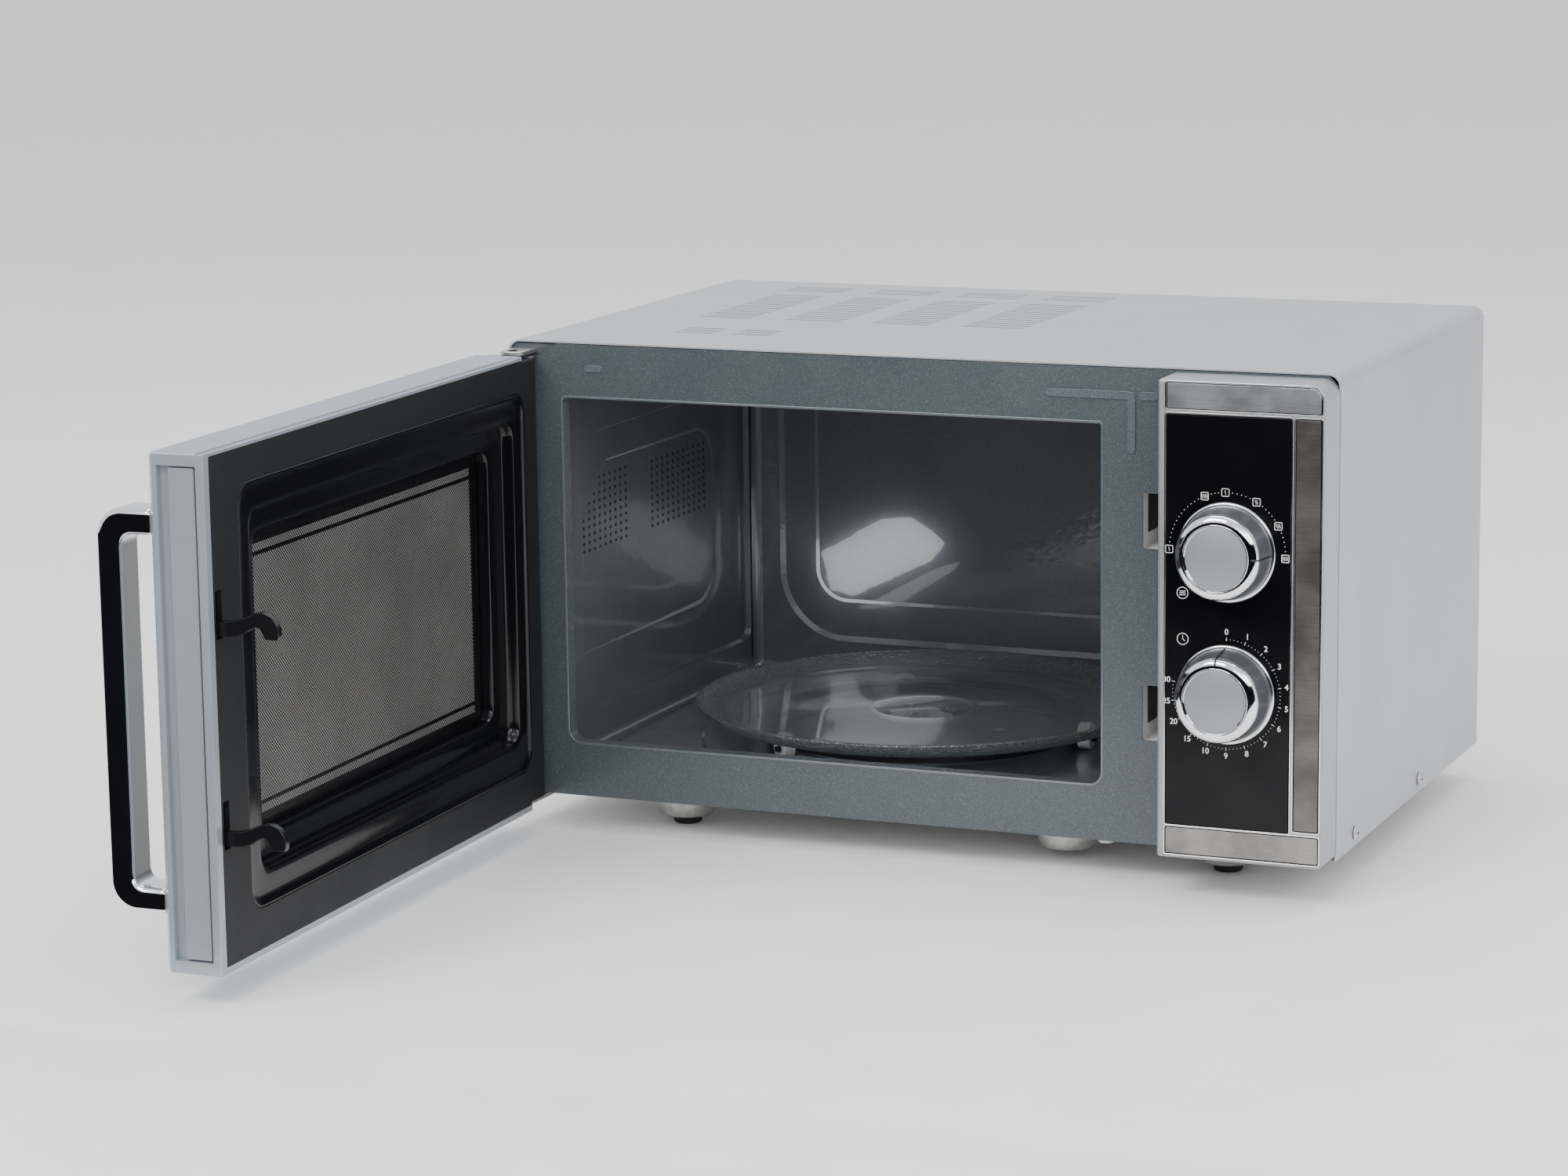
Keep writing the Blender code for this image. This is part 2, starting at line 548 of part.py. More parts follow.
# ---- door ---------------------------------------------------------------------------------
def door_frame(group):
    """Moulded frame: hollow behind, rebated in front for the glass, bored for the hinge pins."""
    x0, z0, x1, z1 = DOOR
    plan = [(x0 + 2.0, DOOR_FRONT), (x1 - 2.0, DOOR_FRONT), (x1, DOOR_FRONT + 2.0),
            (x1, DOOR_BACK), (9.5, DOOR_BACK), (x0, -4.3), (x0, DOOR_FRONT + 2.0)]
    frame = place("door_frame", prism(plan, "z", z0, z1), group, "silver_plastic")
    pocket = [(4.5, 36.0), (27.0, 36.0), (27.0, 20.0), (383.0, 20.0), (383.0, 250.5),
              (371.0, 250.5), (371.0, 273.3), (27.0, 273.3), (27.0, 258.0), (4.5, 258.0)]
    cut(frame, prism(pocket, "y", DOOR_FRONT + 5.0, -4.2), group)
    cut(frame, boxes(((x0 - 3.0, -4.3, 20.0), (383.0, 2.0, 273.3))), group)
    cut(frame, prism(rounded((18.0, 32.0, 352.0, 260.0), 4.0, 2), "y", DOOR_FRONT - 2.0,
                     DOOR_FRONT + 7.0), group)
    cut(frame, prism(rounded((12.0, 26.0, 358.0, 266.0), 6.0, 3), "y", DOOR_FRONT - 2.0,
                     DOOR_FRONT + 3.4), group)
    edge = boxes(((x1 - 1.5, -27.5, 24.0), (x1 + 2.0, -21.0, 268.0)),
                 ((x1 - 1.5, -12.0, 24.0), (x1 + 2.0, -5.5, 268.0)))
    hinge_ends = boxes(((x0 - 3.0, DOOR_FRONT - 2.0, 272.8), (24.0, 3.0, z1 + 2.0)),
                       ((x0 - 3.0, DOOR_FRONT - 2.0, z0 - 2.0), (24.0, 3.0, 21.4)))
    cut(frame, merged(edge, hinge_ends), group)
    bores = [disc((*HINGE, 0.0), (0, 0, 1), HINGE_PIN + 0.5, 258.5, 276.0, 16),
             disc((*HINGE, 0.0), (0, 0, 1), HINGE_PIN + 0.5, 19.0, 35.5, 16)]
    cut(frame, merged(*bores), group)
    holes = [disc((375.5, 0.0, z), (0, 1, 0), 2.6, DOOR_FRONT - 2.0, DOOR_FRONT + 7.0, 12)
             for z in handle_posts()]
    cut(frame, merged(*holes), group)


def handle_posts():
    """Heights of the handle's two ends."""
    return (HANDLE_Z[0] + HANDLE_BAR / 2, HANDLE_Z[1] - HANDLE_BAR / 2)


def door_glass(group):
    """Dark outer pane in the frame's rebate."""
    outline = rounded((12.4, 26.4, 357.6, 265.6), 5.6, 3)
    pane = prism(outline, "y", DOOR_FRONT + 0.1, DOOR_FRONT + 3.1)
    place("door_glass", pane, group, "dark_glass")


def door_inner_panel(group):
    """Metal tray behind the glass with the opening that the screen covers."""
    tray = (24.0, 49.0, 347.0, 249.0)
    panel = place("door_inner_panel", prism(rounded(tray, 8.0, 3), "y", -20.4, -4.6), group,
                  "grey_enamel")
    cut(panel, prism(rounded(inset(tray, 1.2), 7.0, 3), "y", -19.4, 0.0), group)
    cut(panel, prism(rounded((58.0, 78.0, 314.0, 220.0), 3.0, 2), "y", -24.0, -15.0), group)


def door_screen(group):
    """Perforated screen sheet and the clear film over it."""
    place("door_screen", boxes(((46.0, -19.1, 68.0), (326.0, -18.6, 230.0))), group, "black_plastic")
    place("door_film", boxes(((42.0, -18.3, 64.0), (330.0, -18.0, 234.0))), group, "film")


def choke_cover(group):
    """Black inner face with the window, its skirt, the choke groove and the hook slots."""
    z0 = 20.3
    z1 = 273.0
    plan = [(1.8, -4.0), (382.7, -4.0), (382.7, DOOR_BACK), (9.5, DOOR_BACK), (5.6, -1.7), (3.2, -2.8)]
    cover = place("choke_cover", prism(plan, "z", z0, z1), group, "black_plastic")
    skirt = ring_prism(rounded(inset(DOOR_WINDOW, -2.0), 10.0), rounded(DOOR_WINDOW, 8.0), "y",
                       -17.7, -2.5)
    cut(cover, prism(rounded(DOOR_WINDOW, 8.0), "y", -6.0, 3.0), group)
    add(cover, skirt, group)
    groove = ring_prism(rounded((21.5, 40.5, 355.5, 256.0), 12.0),
                        rounded((24.0, 43.0, 353.0, 253.5), 9.5), "y", -2.2, 2.0)
    slots = boxes(*(((375.0, -7.0, base - 1.0), (381.0, 2.0, base + 23.0)) for base in HOOK_BASES))
    hinge_ends = boxes(((-2.0, -7.0, 272.5), (24.3, 3.0, 280.0)), ((-2.0, -7.0, 15.0), (24.3, 3.0, 21.7)))
    cut(cover, merged(groove, slots, hinge_ends), group)


def handle_shape():
    """Side outline of the handle: a flat C with rounded outer corners."""
    inner_y = HANDLE_OUT + HANDLE_BAR
    door_y = DOOR_FRONT - GAP
    z0, z1 = HANDLE_Z
    outline = [(door_y, z0)]
    for centre_z, start, r, y in ((z0 + 15.0, 270, 15.0, HANDLE_OUT + 15.0),
                                  (z1 - 15.0, 180, 15.0, HANDLE_OUT + 15.0)):
        for i in range(6):
            angle = math.radians(start - 90.0 * i / 5)
            outline.append((y + r * math.cos(angle), centre_z + r * math.sin(angle)))
    outline.append((door_y, z1))
    outline.append((door_y, z1 - HANDLE_BAR))
    for centre_z, start, r in ((z1 - HANDLE_BAR - 5.0, 90, 5.0), (z0 + HANDLE_BAR + 5.0, 180, 5.0)):
        for i in range(4):
            angle = math.radians(start + 90.0 * i / 3)
            outline.append((inner_y + 5.0 + r * math.cos(angle), centre_z + r * math.sin(angle)))
    outline.append((door_y, z0 + HANDLE_BAR))
    return outline


def handle(group):
    """Chrome pull bar and the screws that hold it from inside the frame."""
    bar = place("door_handle", prism(handle_shape(), "x", *HANDLE_X), group, "chrome")
    holes = [disc((375.5, 0.0, z), (0, 1, 0), 2.4, -44.0, -30.0, 12) for z in handle_posts()]
    cut(bar, merged(*holes), group)
    profile = [(0.0, -42.0), (2.0, -42.0), (2.0, -26.2), (4.2, -26.2), (4.2, -24.0), (0.0, -24.0)]
    for name, z in zip(("lower", "upper"), handle_posts()):
        screw = turned(profile, (375.5, 0.0, z), (0, 1, 0), 12)
        place(f"handle_screw_{name}", screw, group, "zinc")


def hook_outline(base):
    """Side outline of one hook: neck, raised nose and turned-down tip."""
    points = [(-13.0, 0.0), (13.0, 2.0), (20.0, 6.5), (24.0, 1.5), (24.5, 0.4), (31.6, 0.4),
              (32.0, 5.5), (30.0, 10.5), (24.0, 14.0), (11.0, 9.5), (-3.0, 8.0), (-13.0, 8.0)]
    return [(y, base + z) for y, z in points]


def door_latch(parent):
    """Sliding latch bar with both hooks, and the spring that presses it down."""
    group = Group("latch_slide_axis", (378.0, -16.0, 140.0), parent)
    bar = place("door_latch", boxes(((373.0, -20.0, 72.0), (381.5, -12.5, 212.0))), group,
                "black_plastic")
    hooks = [prism(hook_outline(base), "x", *HOOK_X) for base in HOOK_BASES]
    add(bar, merged(*hooks), group)
    ring = [(2.3, 212.4), (3.6, 212.4), (3.6, 250.1), (2.3, 250.1)]
    spring = turned(ring, (377.2, -16.2, 0.0), (0, 0, 1), 12)
    place("latch_spring", spring, group, "zinc")


def door(parent):
    """Everything that swings, turned open about the hinge."""
    group = Group("door_hinge_axis", (*HINGE, 0.0), parent, -DOOR_OPEN)
    for build in (door_frame, door_glass, door_inner_panel, door_screen, choke_cover, handle, door_latch):
        build(group)


# ---- turntable ----------------------------------------------------------------------------
def coupler(parent):
    """Three-armed drive on the motor's shaft."""
    group = Group("turntable_axis", (*SPIN_CENTRE, 40.0), parent)
    outline = []
    for arm in range(3):
        middle = math.tau * arm / 3 + math.radians(90)
        for r, half in ((9.0, -0.9), (9.0, -0.42), (22.0, -0.17), (22.0, 0.17), (9.0, 0.42)):
            outline.append((SPIN_CENTRE[0] + r * math.cos(middle + half),
                            SPIN_CENTRE[1] + r * math.sin(middle + half)))
    drive = place("turntable_coupler", prism(outline, "z", 37.2, 47.2), group, "white_plastic")
    add(drive, disc((*SPIN_CENTRE, 0.0), (0, 0, 1), 3.4, 28.6, 38.0, 12), group)
    return group


def tray(parent):
    """Glass tray with a raised rim and three lugs that sit between the coupler's arms."""
    group = Group("tray_axis", (*SPIN_CENTRE, TRAY_BOTTOM), parent)
    b = TRAY_BOTTOM
    r = TRAY_RADIUS
    profile = [(0.0, b), (116.0, b), (127.0, b + 3.4), (r, TRAY_RIM - 1.6), (r, TRAY_RIM - 0.4),
               (r - 1.6, TRAY_RIM), (r - 3.0, TRAY_RIM - 0.6), (125.0, b + 7.4), (115.0, b + 4.4),
               (0.0, b + 4.4)]
    glass = place("glass_tray", turned(profile, (*SPIN_CENTRE, 0.0), (0, 0, 1), 44), group, "tray_glass")
    lugs = []
    for i in range(3):
        angle = math.radians(30 + 120 * i)
        centre = (SPIN_CENTRE[0] + 16.0 * math.cos(angle), SPIN_CENTRE[1] + 16.0 * math.sin(angle))
        lugs.append(prism(circle(centre, 3.6, 8), "z", b - 6.0, b + 2.0))
    add(glass, merged(*lugs), group)


def roller_ring(parent):
    """Ring under the tray with three stub axles and their wheels."""
    group = Group("roller_ring_axis", (*SPIN_CENTRE, WHEEL_Z), parent)
    band = ring_prism(circle(SPIN_CENTRE, 93.0, 40), circle(SPIN_CENTRE, 85.0, 40), "z", 40.0, 44.6)
    ring = place("roller_ring", band, group, "white_plastic")
    stubs = []
    for i, degrees in enumerate(WHEEL_ANGLES):
        angle = math.radians(degrees)
        out = Vector((math.cos(angle), math.sin(angle), 0.0))
        centre = Vector((*SPIN_CENTRE, WHEEL_Z))
        stubs.append(disc(centre, out, 1.7, 90.0, WHEEL_TRACK + 6.0, 10))
        wheel_group = Group(f"roller_wheel_{i + 1}_axis", centre + out * WHEEL_TRACK, group)
        profile = [(2.3, WHEEL_TRACK - 4.0), (WHEEL_RADIUS - 0.5, WHEEL_TRACK - 4.0),
                   (WHEEL_RADIUS, WHEEL_TRACK - 3.5), (WHEEL_RADIUS, WHEEL_TRACK + 3.5),
                   (WHEEL_RADIUS - 0.5, WHEEL_TRACK + 4.0), (2.3, WHEEL_TRACK + 4.0)]
        place(f"roller_wheel_{i + 1}", turned(profile, centre, out, 20), wheel_group, "white_plastic")
    add(ring, merged(*stubs), group)


def main():
    for old in list(bpy.data.objects):
        bpy.data.objects.remove(old)
    cabinet = Group("cabinet", (0.0, 0.0, 0.0))
    for build in (outer_cover, side_screws, front_plate, cavity_box, microwave_feed, power_parts,
                  cooling_fan, fan_blades, base_plate, feet, back_panel, cord_gland, turntable_motor,
                  latch_housing, hinge_brackets, control_bezel, panel_inlays, control_units, door,
                  roller_ring):
        build(cabinet)
    knob("power_knob", POWER_Z, cabinet)
    knob("timer_knob", TIMER_Z, cabinet)
    tray(coupler(cabinet))


main()
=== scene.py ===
"""Looks of the countertop microwave oven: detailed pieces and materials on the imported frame.

Shapes are drawn in millimetres in the cabinet's own frame (x from its left side, y back from the
front plate, z up from the floor), the door as if it were shut. CABINET and DOOR take them to the
row's frame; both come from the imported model.
"""
import json
import math

import bmesh
import bpy
import numpy as np
from mathutils import Matrix, Vector


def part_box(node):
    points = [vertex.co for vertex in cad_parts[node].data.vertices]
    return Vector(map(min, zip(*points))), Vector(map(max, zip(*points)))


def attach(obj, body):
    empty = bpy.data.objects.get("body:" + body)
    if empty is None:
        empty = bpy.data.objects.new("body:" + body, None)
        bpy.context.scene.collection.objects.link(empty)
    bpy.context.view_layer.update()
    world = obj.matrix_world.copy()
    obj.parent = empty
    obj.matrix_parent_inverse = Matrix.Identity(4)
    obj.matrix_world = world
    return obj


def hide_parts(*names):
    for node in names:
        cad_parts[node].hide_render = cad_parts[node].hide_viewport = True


MM = 0.001
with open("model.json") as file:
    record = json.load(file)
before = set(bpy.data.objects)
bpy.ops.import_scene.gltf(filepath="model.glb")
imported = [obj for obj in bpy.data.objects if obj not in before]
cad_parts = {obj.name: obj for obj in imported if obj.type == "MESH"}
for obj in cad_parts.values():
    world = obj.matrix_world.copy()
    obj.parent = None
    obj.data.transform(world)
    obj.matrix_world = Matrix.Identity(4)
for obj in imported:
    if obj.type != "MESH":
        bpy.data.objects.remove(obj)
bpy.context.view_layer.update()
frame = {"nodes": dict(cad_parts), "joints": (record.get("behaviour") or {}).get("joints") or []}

JOINTS = {joint["name"]: joint for joint in frame["joints"]}


def cabinet_matrix():
    """Cabinet millimetres to the row's metres."""
    low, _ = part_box("outer_cover")
    return Matrix.Translation((low.x, low.y, 0.0)) @ Matrix.Scale(MM, 4)


def door_matrix():
    """Shut-door millimetres to the row's metres, with the door open as it is stored."""
    hinge = JOINTS["door_hinge"]
    place = Matrix.Translation(Vector(hinge["pos_m"]))
    shut = math.radians(hinge["range_deg"][1])
    return place @ Matrix.Rotation(-shut, 4, "Z") @ place.inverted() @ CABINET


CABINET = cabinet_matrix()
DOOR = door_matrix()


def node_box(node):
    """A cabinet node's box in cabinet millimetres, as (x0, y0, z0, x1, y1, z1)."""
    low, high = (CABINET.inverted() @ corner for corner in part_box(node))
    return (*low, *high)


def box_middle(node):
    """Middle of a cabinet node's box, in cabinet millimetres."""
    box = node_box(node)
    return tuple((box[k] + box[k + 3]) / 2 for k in range(3))


def face_rect(node):
    """A cabinet node's outline seen from the front, as (x0, z0, x1, z1)."""
    x0, _, z0, x1, _, z1 = node_box(node)
    return (x0, z0, x1, z1)


def linked(name, data):
    """New object in the scene."""
    made = bpy.data.objects.new(name, data)
    bpy.context.scene.collection.objects.link(made)
    return made


# ---- camera and studio, in cabinet metres ---------------------------------------------------
CAMERA_PLACE = (1.0829, -2.1549, 0.5888)
CAMERA_YAW = 0.402
CAMERA_PITCH = -0.1857
CAMERA_ROLL = -0.0131
CAMERA_LENS = 98.84
SENSOR_WIDTH = 36.0

SURROUND_COLOUR = (0.95, 0.965, 1.0, 1.0)
SURROUND_STRENGTH = 1.1
FLOOR_HALF = 40.0
WHITE = (1.0, 1.0, 1.0)
OVEN_MIDDLE = (0.24, 0.1, 0.15)
# soft lights: name, place, target, size, power, colour
LIGHTS = (
    ("key", (-0.5, -2.2, 2.3), OVEN_MIDDLE, (1.6, 1.2), 60.0, (1.0, 0.985, 0.96)),
    ("fill", (2.6, -1.4, 1.6), OVEN_MIDDLE, (1.4, 1.4), 26.0, WHITE),
    ("top", (0.3, 0.4, 2.6), OVEN_MIDDLE, (2.2, 1.6), 34.0, WHITE),
    ("mouth", (1.1, -1.9, 0.95), (0.15, 0.2, 0.12), (0.9, 0.6), 7.0, WHITE),
)
# black cards round the front of the oven that only reflections see: painted dark reflections, a dark room
# for the bright surfaces to mirror; the low one lies over the pale floor
FLAGS = (
    ("flag_low", ((-2.5, -0.45, 0.003), (2.5, -0.45, 0.003), (2.5, -3.0, 0.003), (-2.5, -3.0, 0.003))),
    ("flag_wall", ((-2.5, -3.0, 0.0), (1.9, -3.0, 0.0), (1.9, -3.0, 0.8), (-2.5, -3.0, 0.8))),
    ("flag_side", ((1.9, -3.0, 0.0), (1.9, -0.5, 0.0), (1.9, -0.5, 0.75), (1.9, -3.0, 0.75))),
)
# glowing cards just in front of the oven's back wall that only reflections see, a painted highlight on the
# back wall standing in for the soft boxes' images: outline across and up, strength
GLOW_DEPTH = 0.272
PAINTED_HIGHLIGHT_CARDS = (
    ("glow_main", ((0.096, 0.131), (0.117, 0.134), (0.132, 0.125), (0.140, 0.118), (0.131, 0.107),
                   (0.078, 0.081), (0.062, 0.084), (0.056, 0.108)), 6.0),
    ("glow_low", ((0.131, 0.101), (0.150, 0.108), (0.146, 0.102), (0.106, 0.076), (0.080, 0.073)), 2.0),
)


def row_place(place):
    """Cabinet metres to the row's metres."""
    return CABINET @ (Vector(place) / MM)


def camera():
    """Still camera in front of the oven and to its right."""
    data = bpy.data.cameras.new("camera")
    data.lens = CAMERA_LENS
    data.sensor_width = SENSOR_WIDTH
    data.dof.use_dof = False
    made = linked("camera", data)
    turn = (Matrix.Rotation(CAMERA_YAW, 4, "Z") @ Matrix.Rotation(math.pi / 2 + CAMERA_PITCH, 4, "X")
            @ Matrix.Rotation(CAMERA_ROLL, 4, "Z"))
    made.matrix_world = Matrix.Translation(row_place(CAMERA_PLACE)) @ turn
    bpy.context.scene.camera = made


def area_light(name, place, target, size, power, colour):
    """Soft rectangular light aimed at target."""
    data = bpy.data.lights.new(name, "AREA")
    data.shape = "RECTANGLE"
    data.size, data.size_y = size
    data.energy = power
    data.color = colour
    start = row_place(place)
    turn = (row_place(target) - start).to_track_quat("-Z", "Y")
    linked(name, data).matrix_world = Matrix.Translation(start) @ turn.to_matrix().to_4x4()


def card_look(name, glow):
    """Glows from the side its corners run anticlockwise on, and lets light through from the other."""
    look = bpy.data.materials.new(name)
    look.use_nodes = True
    tree = look.node_tree
    tree.nodes.clear()
    emission = tree.nodes.new("ShaderNodeEmission")
    emission.inputs["Strength"].default_value = glow
    clear = tree.nodes.new("ShaderNodeBsdfTransparent")
    side = tree.nodes.new("ShaderNodeNewGeometry")
    mix = tree.nodes.new("ShaderNodeMixShader")
    output = tree.nodes.new("ShaderNodeOutputMaterial")
    tree.links.new(side.outputs["Backfacing"], mix.inputs[0])
    tree.links.new(emission.outputs[0], mix.inputs[1])
    tree.links.new(clear.outputs[0], mix.inputs[2])
    tree.links.new(mix.outputs[0], output.inputs["Surface"])
    return look


def staged_card(name, corners, look):
    """Flat card that isn't part of the oven; corners in the row's metres."""
    mesh = bpy.data.meshes.new(name)
    mesh.from_pydata(corners, [], [tuple(range(len(corners)))])
    mesh.materials.append(look)
    made = linked(name, mesh)
    return made


def mirror_card(name, corners, look):
    """Card that only mirror-like reflections see: black as a painted dark reflection of a dark room, or
    glowing as a painted soft box highlight.
    """
    made = staged_card(name, [tuple(row_place(corner)) for corner in corners], look)
    made.visible_camera = False
    made.visible_diffuse = False
    made.visible_shadow = False
    made.visible_transmission = False


def studio():
    """Pale floor, even surround, soft lights, and cards that only reflections see, painting dark
    reflections and highlights into the bright surfaces.
    """
    world = bpy.data.worlds.new("surround")
    world.use_nodes = True
    background = world.node_tree.nodes["Background"]
    background.inputs["Color"].default_value = SURROUND_COLOUR
    background.inputs["Strength"].default_value = SURROUND_STRENGTH
    bpy.context.scene.world = world
    for light in LIGHTS:
        area_light(*light)
    half = FLOOR_HALF
    paint = grained("floor_paint", (0.93, 0.925, 0.92), 0.55, grain=40.0, depth=0.02, vary=0.01)
    staged_card("floor", [(-half, -half, 0), (half, -half, 0), (half, half, 0), (-half, half, 0)], paint)
    # black for the cards that only reflections see: painted dark reflections
    black = grained("painted_dark_reflection", (0.004, 0.004, 0.005), 0.9, Specular_IOR_Level=0.0)
    for name, corners in FLAGS:
        mirror_card(name, corners, black)
    # glowing cards inside the cavity: painted highlight on the back wall
    for name, outline, glow in PAINTED_HIGHLIGHT_CARDS:
        mirror_card(name, [(x, GLOW_DEPTH, z) for x, z in outline], card_look(f"{name}_light", glow))


# ---- materials ----------------------------------------------------------------------------
def new_look(name, colour, roughness, metallic=0.0, **sockets):
    """A Principled material and its tree; extra sockets by name with underscores for spaces."""
    look = bpy.data.materials.new(name)
    look.use_nodes = True
    shader = look.node_tree.nodes["Principled BSDF"]
    shader.inputs["Base Color"].default_value = (*colour, 1.0)
    shader.inputs["Roughness"].default_value = roughness
    shader.inputs["Metallic"].default_value = metallic
    for socket, value in sockets.items():
        shader.inputs[socket.replace("_", " ")].default_value = value
    return look, look.node_tree, shader


def coordinates(tree, stretch=(1.0, 1.0, 1.0)):
    """Object coordinates, stretched."""
    source = tree.nodes.new("ShaderNodeTexCoord")
    mapping = tree.nodes.new("ShaderNodeMapping")
    mapping.inputs["Scale"].default_value = stretch
    tree.links.new(source.outputs["Object"], mapping.inputs["Vector"])
    return mapping.outputs["Vector"]


def noise(tree, scale, detail=2.0, stretch=(1.0, 1.0, 1.0)):
    """Noise texture value."""
    node = tree.nodes.new("ShaderNodeTexNoise")
    node.inputs["Scale"].default_value = scale
    node.inputs["Detail"].default_value = detail
    tree.links.new(coordinates(tree, stretch), node.inputs["Vector"])
    return node.outputs["Fac"]


def cells(tree, scale):
    """Distance to the nearest cell centre."""
    node = tree.nodes.new("ShaderNodeTexVoronoi")
    node.inputs["Scale"].default_value = scale
    tree.links.new(coordinates(tree), node.inputs["Vector"])
    return node.outputs["Distance"]


def ramp(tree, value, stops):
    """Colour ramp over (position, colour) stops; a colour may be one grey number."""
    node = tree.nodes.new("ShaderNodeValToRGB")
    tree.links.new(value, node.inputs["Fac"])
    while len(node.color_ramp.elements) < len(stops):
        node.color_ramp.elements.new(0.5)
    for element, (position, colour) in zip(node.color_ramp.elements, stops):
        element.position = position
        element.color = (*colour, 1.0) if isinstance(colour, tuple) else (colour, colour, colour, 1.0)
    return node.outputs["Color"]


def multiplied(tree, first, second):
    """Product of two colour outputs."""
    node = tree.nodes.new("ShaderNodeMix")
    node.data_type = "RGBA"
    node.blend_type = "MULTIPLY"
    node.inputs[0].default_value = 1.0
    tree.links.new(first, node.inputs[6])
    tree.links.new(second, node.inputs[7])
    return node.outputs[2]


def bump(tree, shader, height, strength, distance=0.0003):
    """Surface relief from a height output."""
    node = tree.nodes.new("ShaderNodeBump")
    node.inputs["Strength"].default_value = strength
    node.inputs["Distance"].default_value = distance
    tree.links.new(height, node.inputs["Height"])
    tree.links.new(node.outputs["Normal"], shader.inputs["Normal"])


def scaled(colour, factor):
    """Colour made brighter or darker."""
    return tuple(min(1.0, channel * factor) for channel in colour)


def vary_colour(tree, shader, colour, amount, scale):
    """Cloudy variation of the base colour."""
    out = ramp(tree, noise(tree, scale, 4.0),
               ((0.3, scaled(colour, 1.0 - amount)), (0.7, scaled(colour, 1.0 + amount))))
    tree.links.new(out, shader.inputs["Base Color"])


def vary_roughness(tree, shader, low, high, scale):
    """Smudged roughness between two values."""
    out = ramp(tree, noise(tree, scale, 5.0), ((0.35, low), (0.7, high)))
    tree.links.new(out, shader.inputs["Roughness"])


def grained(name, colour, roughness, metallic=0.0, grain=900.0, depth=0.15, vary=0.04, **sockets):
    """Moulded or painted surface with a fine grain, cloudy tone and uneven gloss."""
    look, tree, shader = new_look(name, colour, roughness, metallic, **sockets)
    vary_colour(tree, shader, colour, vary, 14.0)
    vary_roughness(tree, shader, roughness * 0.9, min(1.0, roughness * 1.15), 22.0)
    bump(tree, shader, noise(tree, grain, 3.0), depth)
    return look


def speckled(name, colour, light, roughness, peel, coat, coat_roughness):
    """Stove enamel: light and dark specks under a clear, slightly wavy coat."""
    look, tree, shader = new_look(name, colour, roughness, 0.1, Coat_Weight=coat,
                                  Coat_Roughness=coat_roughness)
    base = ramp(tree, noise(tree, 2400.0, 2.0),
                ((0.32, scaled(colour, 0.72)), (0.45, colour), (0.60, colour), (0.72, light)))
    cloud = ramp(tree, noise(tree, 9.0, 3.0), ((0.3, 0.93), (0.7, 1.0)))
    tree.links.new(multiplied(tree, base, cloud), shader.inputs["Base Color"])
    vary_roughness(tree, shader, roughness * 0.9, roughness * 1.2, 30.0)
    bump(tree, shader, noise(tree, 170.0, 2.0), peel, 0.0004)
    tree.links.new(shader.inputs["Normal"].links[0].from_socket, shader.inputs["Coat Normal"])
    return look


def brushed(name, colour, stretch, contrast):
    """Brushed metal with its lines along the axis that isn't stretched, and cloudy smears."""
    look, tree, shader = new_look(name, colour, 0.3, 0.6, Anisotropic=0.5)
    lines = noise(tree, 1.0, 6.0, stretch)
    streaks = ramp(tree, lines, ((0.25, scaled(colour, 1.0 - 2.4 * contrast)), (0.5, colour),
                                 (0.78, scaled(colour, 1.0 + 2.4 * contrast))))
    cloud = ramp(tree, noise(tree, 45.0, 3.0), ((0.35, 0.6), (0.62, 1.0)))
    tree.links.new(multiplied(tree, streaks, cloud), shader.inputs["Base Color"])
    tree.links.new(ramp(tree, lines, ((0.3, 0.26), (0.75, 0.36))), shader.inputs["Roughness"])
    bump(tree, shader, lines, 0.03, 0.0002)
    return look


def polished(name, colour, roughness, metallic=1.0, smudge=0.08, **sockets):
    """Bright plating or gloss plastic with faint smudges."""
    look, tree, shader = new_look(name, colour, roughness, metallic, **sockets)
    vary_roughness(tree, shader, roughness, roughness + smudge, 26.0)
    vary_colour(tree, shader, colour, 0.03, 40.0)
    return look


def galvanised(name, colour):
    """Zinc plating with soft crystal patches."""
    look, tree, shader = new_look(name, colour, 0.38, 1.0)
    patches = ramp(tree, cells(tree, 220.0), ((0.1, scaled(colour, 0.86)), (0.7, scaled(colour, 1.12))))
    tree.links.new(patches, shader.inputs["Base Color"])
    vary_roughness(tree, shader, 0.3, 0.5, 60.0)
    return look


def clear_glass(name, colour, clearness, relief=None):
    """Pressed glass with some haze; relief is the scale and depth of a stippled surface."""
    look, tree, shader = new_look(name, colour, 0.03, Transmission_Weight=clearness, IOR=1.5)
    if relief:
        scale, depth = relief
        bump(tree, shader, cells(tree, scale), depth, 0.0006)
        vary_roughness(tree, shader, 0.05, 0.16, 300.0)
    else:
        bump(tree, shader, noise(tree, 60.0, 2.0), 0.06, 0.0004)
        vary_roughness(tree, shader, 0.02, 0.07, 30.0)
    return look


def new_film():
    """Clear film over the screen: mostly see-through with a gloss."""
    look, tree, shader = new_look("screen_film", (0.01, 0.01, 0.011), 0.12, Specular_IOR_Level=0.3)
    shader.inputs["Alpha"].default_value = 0.12
    vary_roughness(tree, shader, 0.06, 0.2, 24.0)
    return look


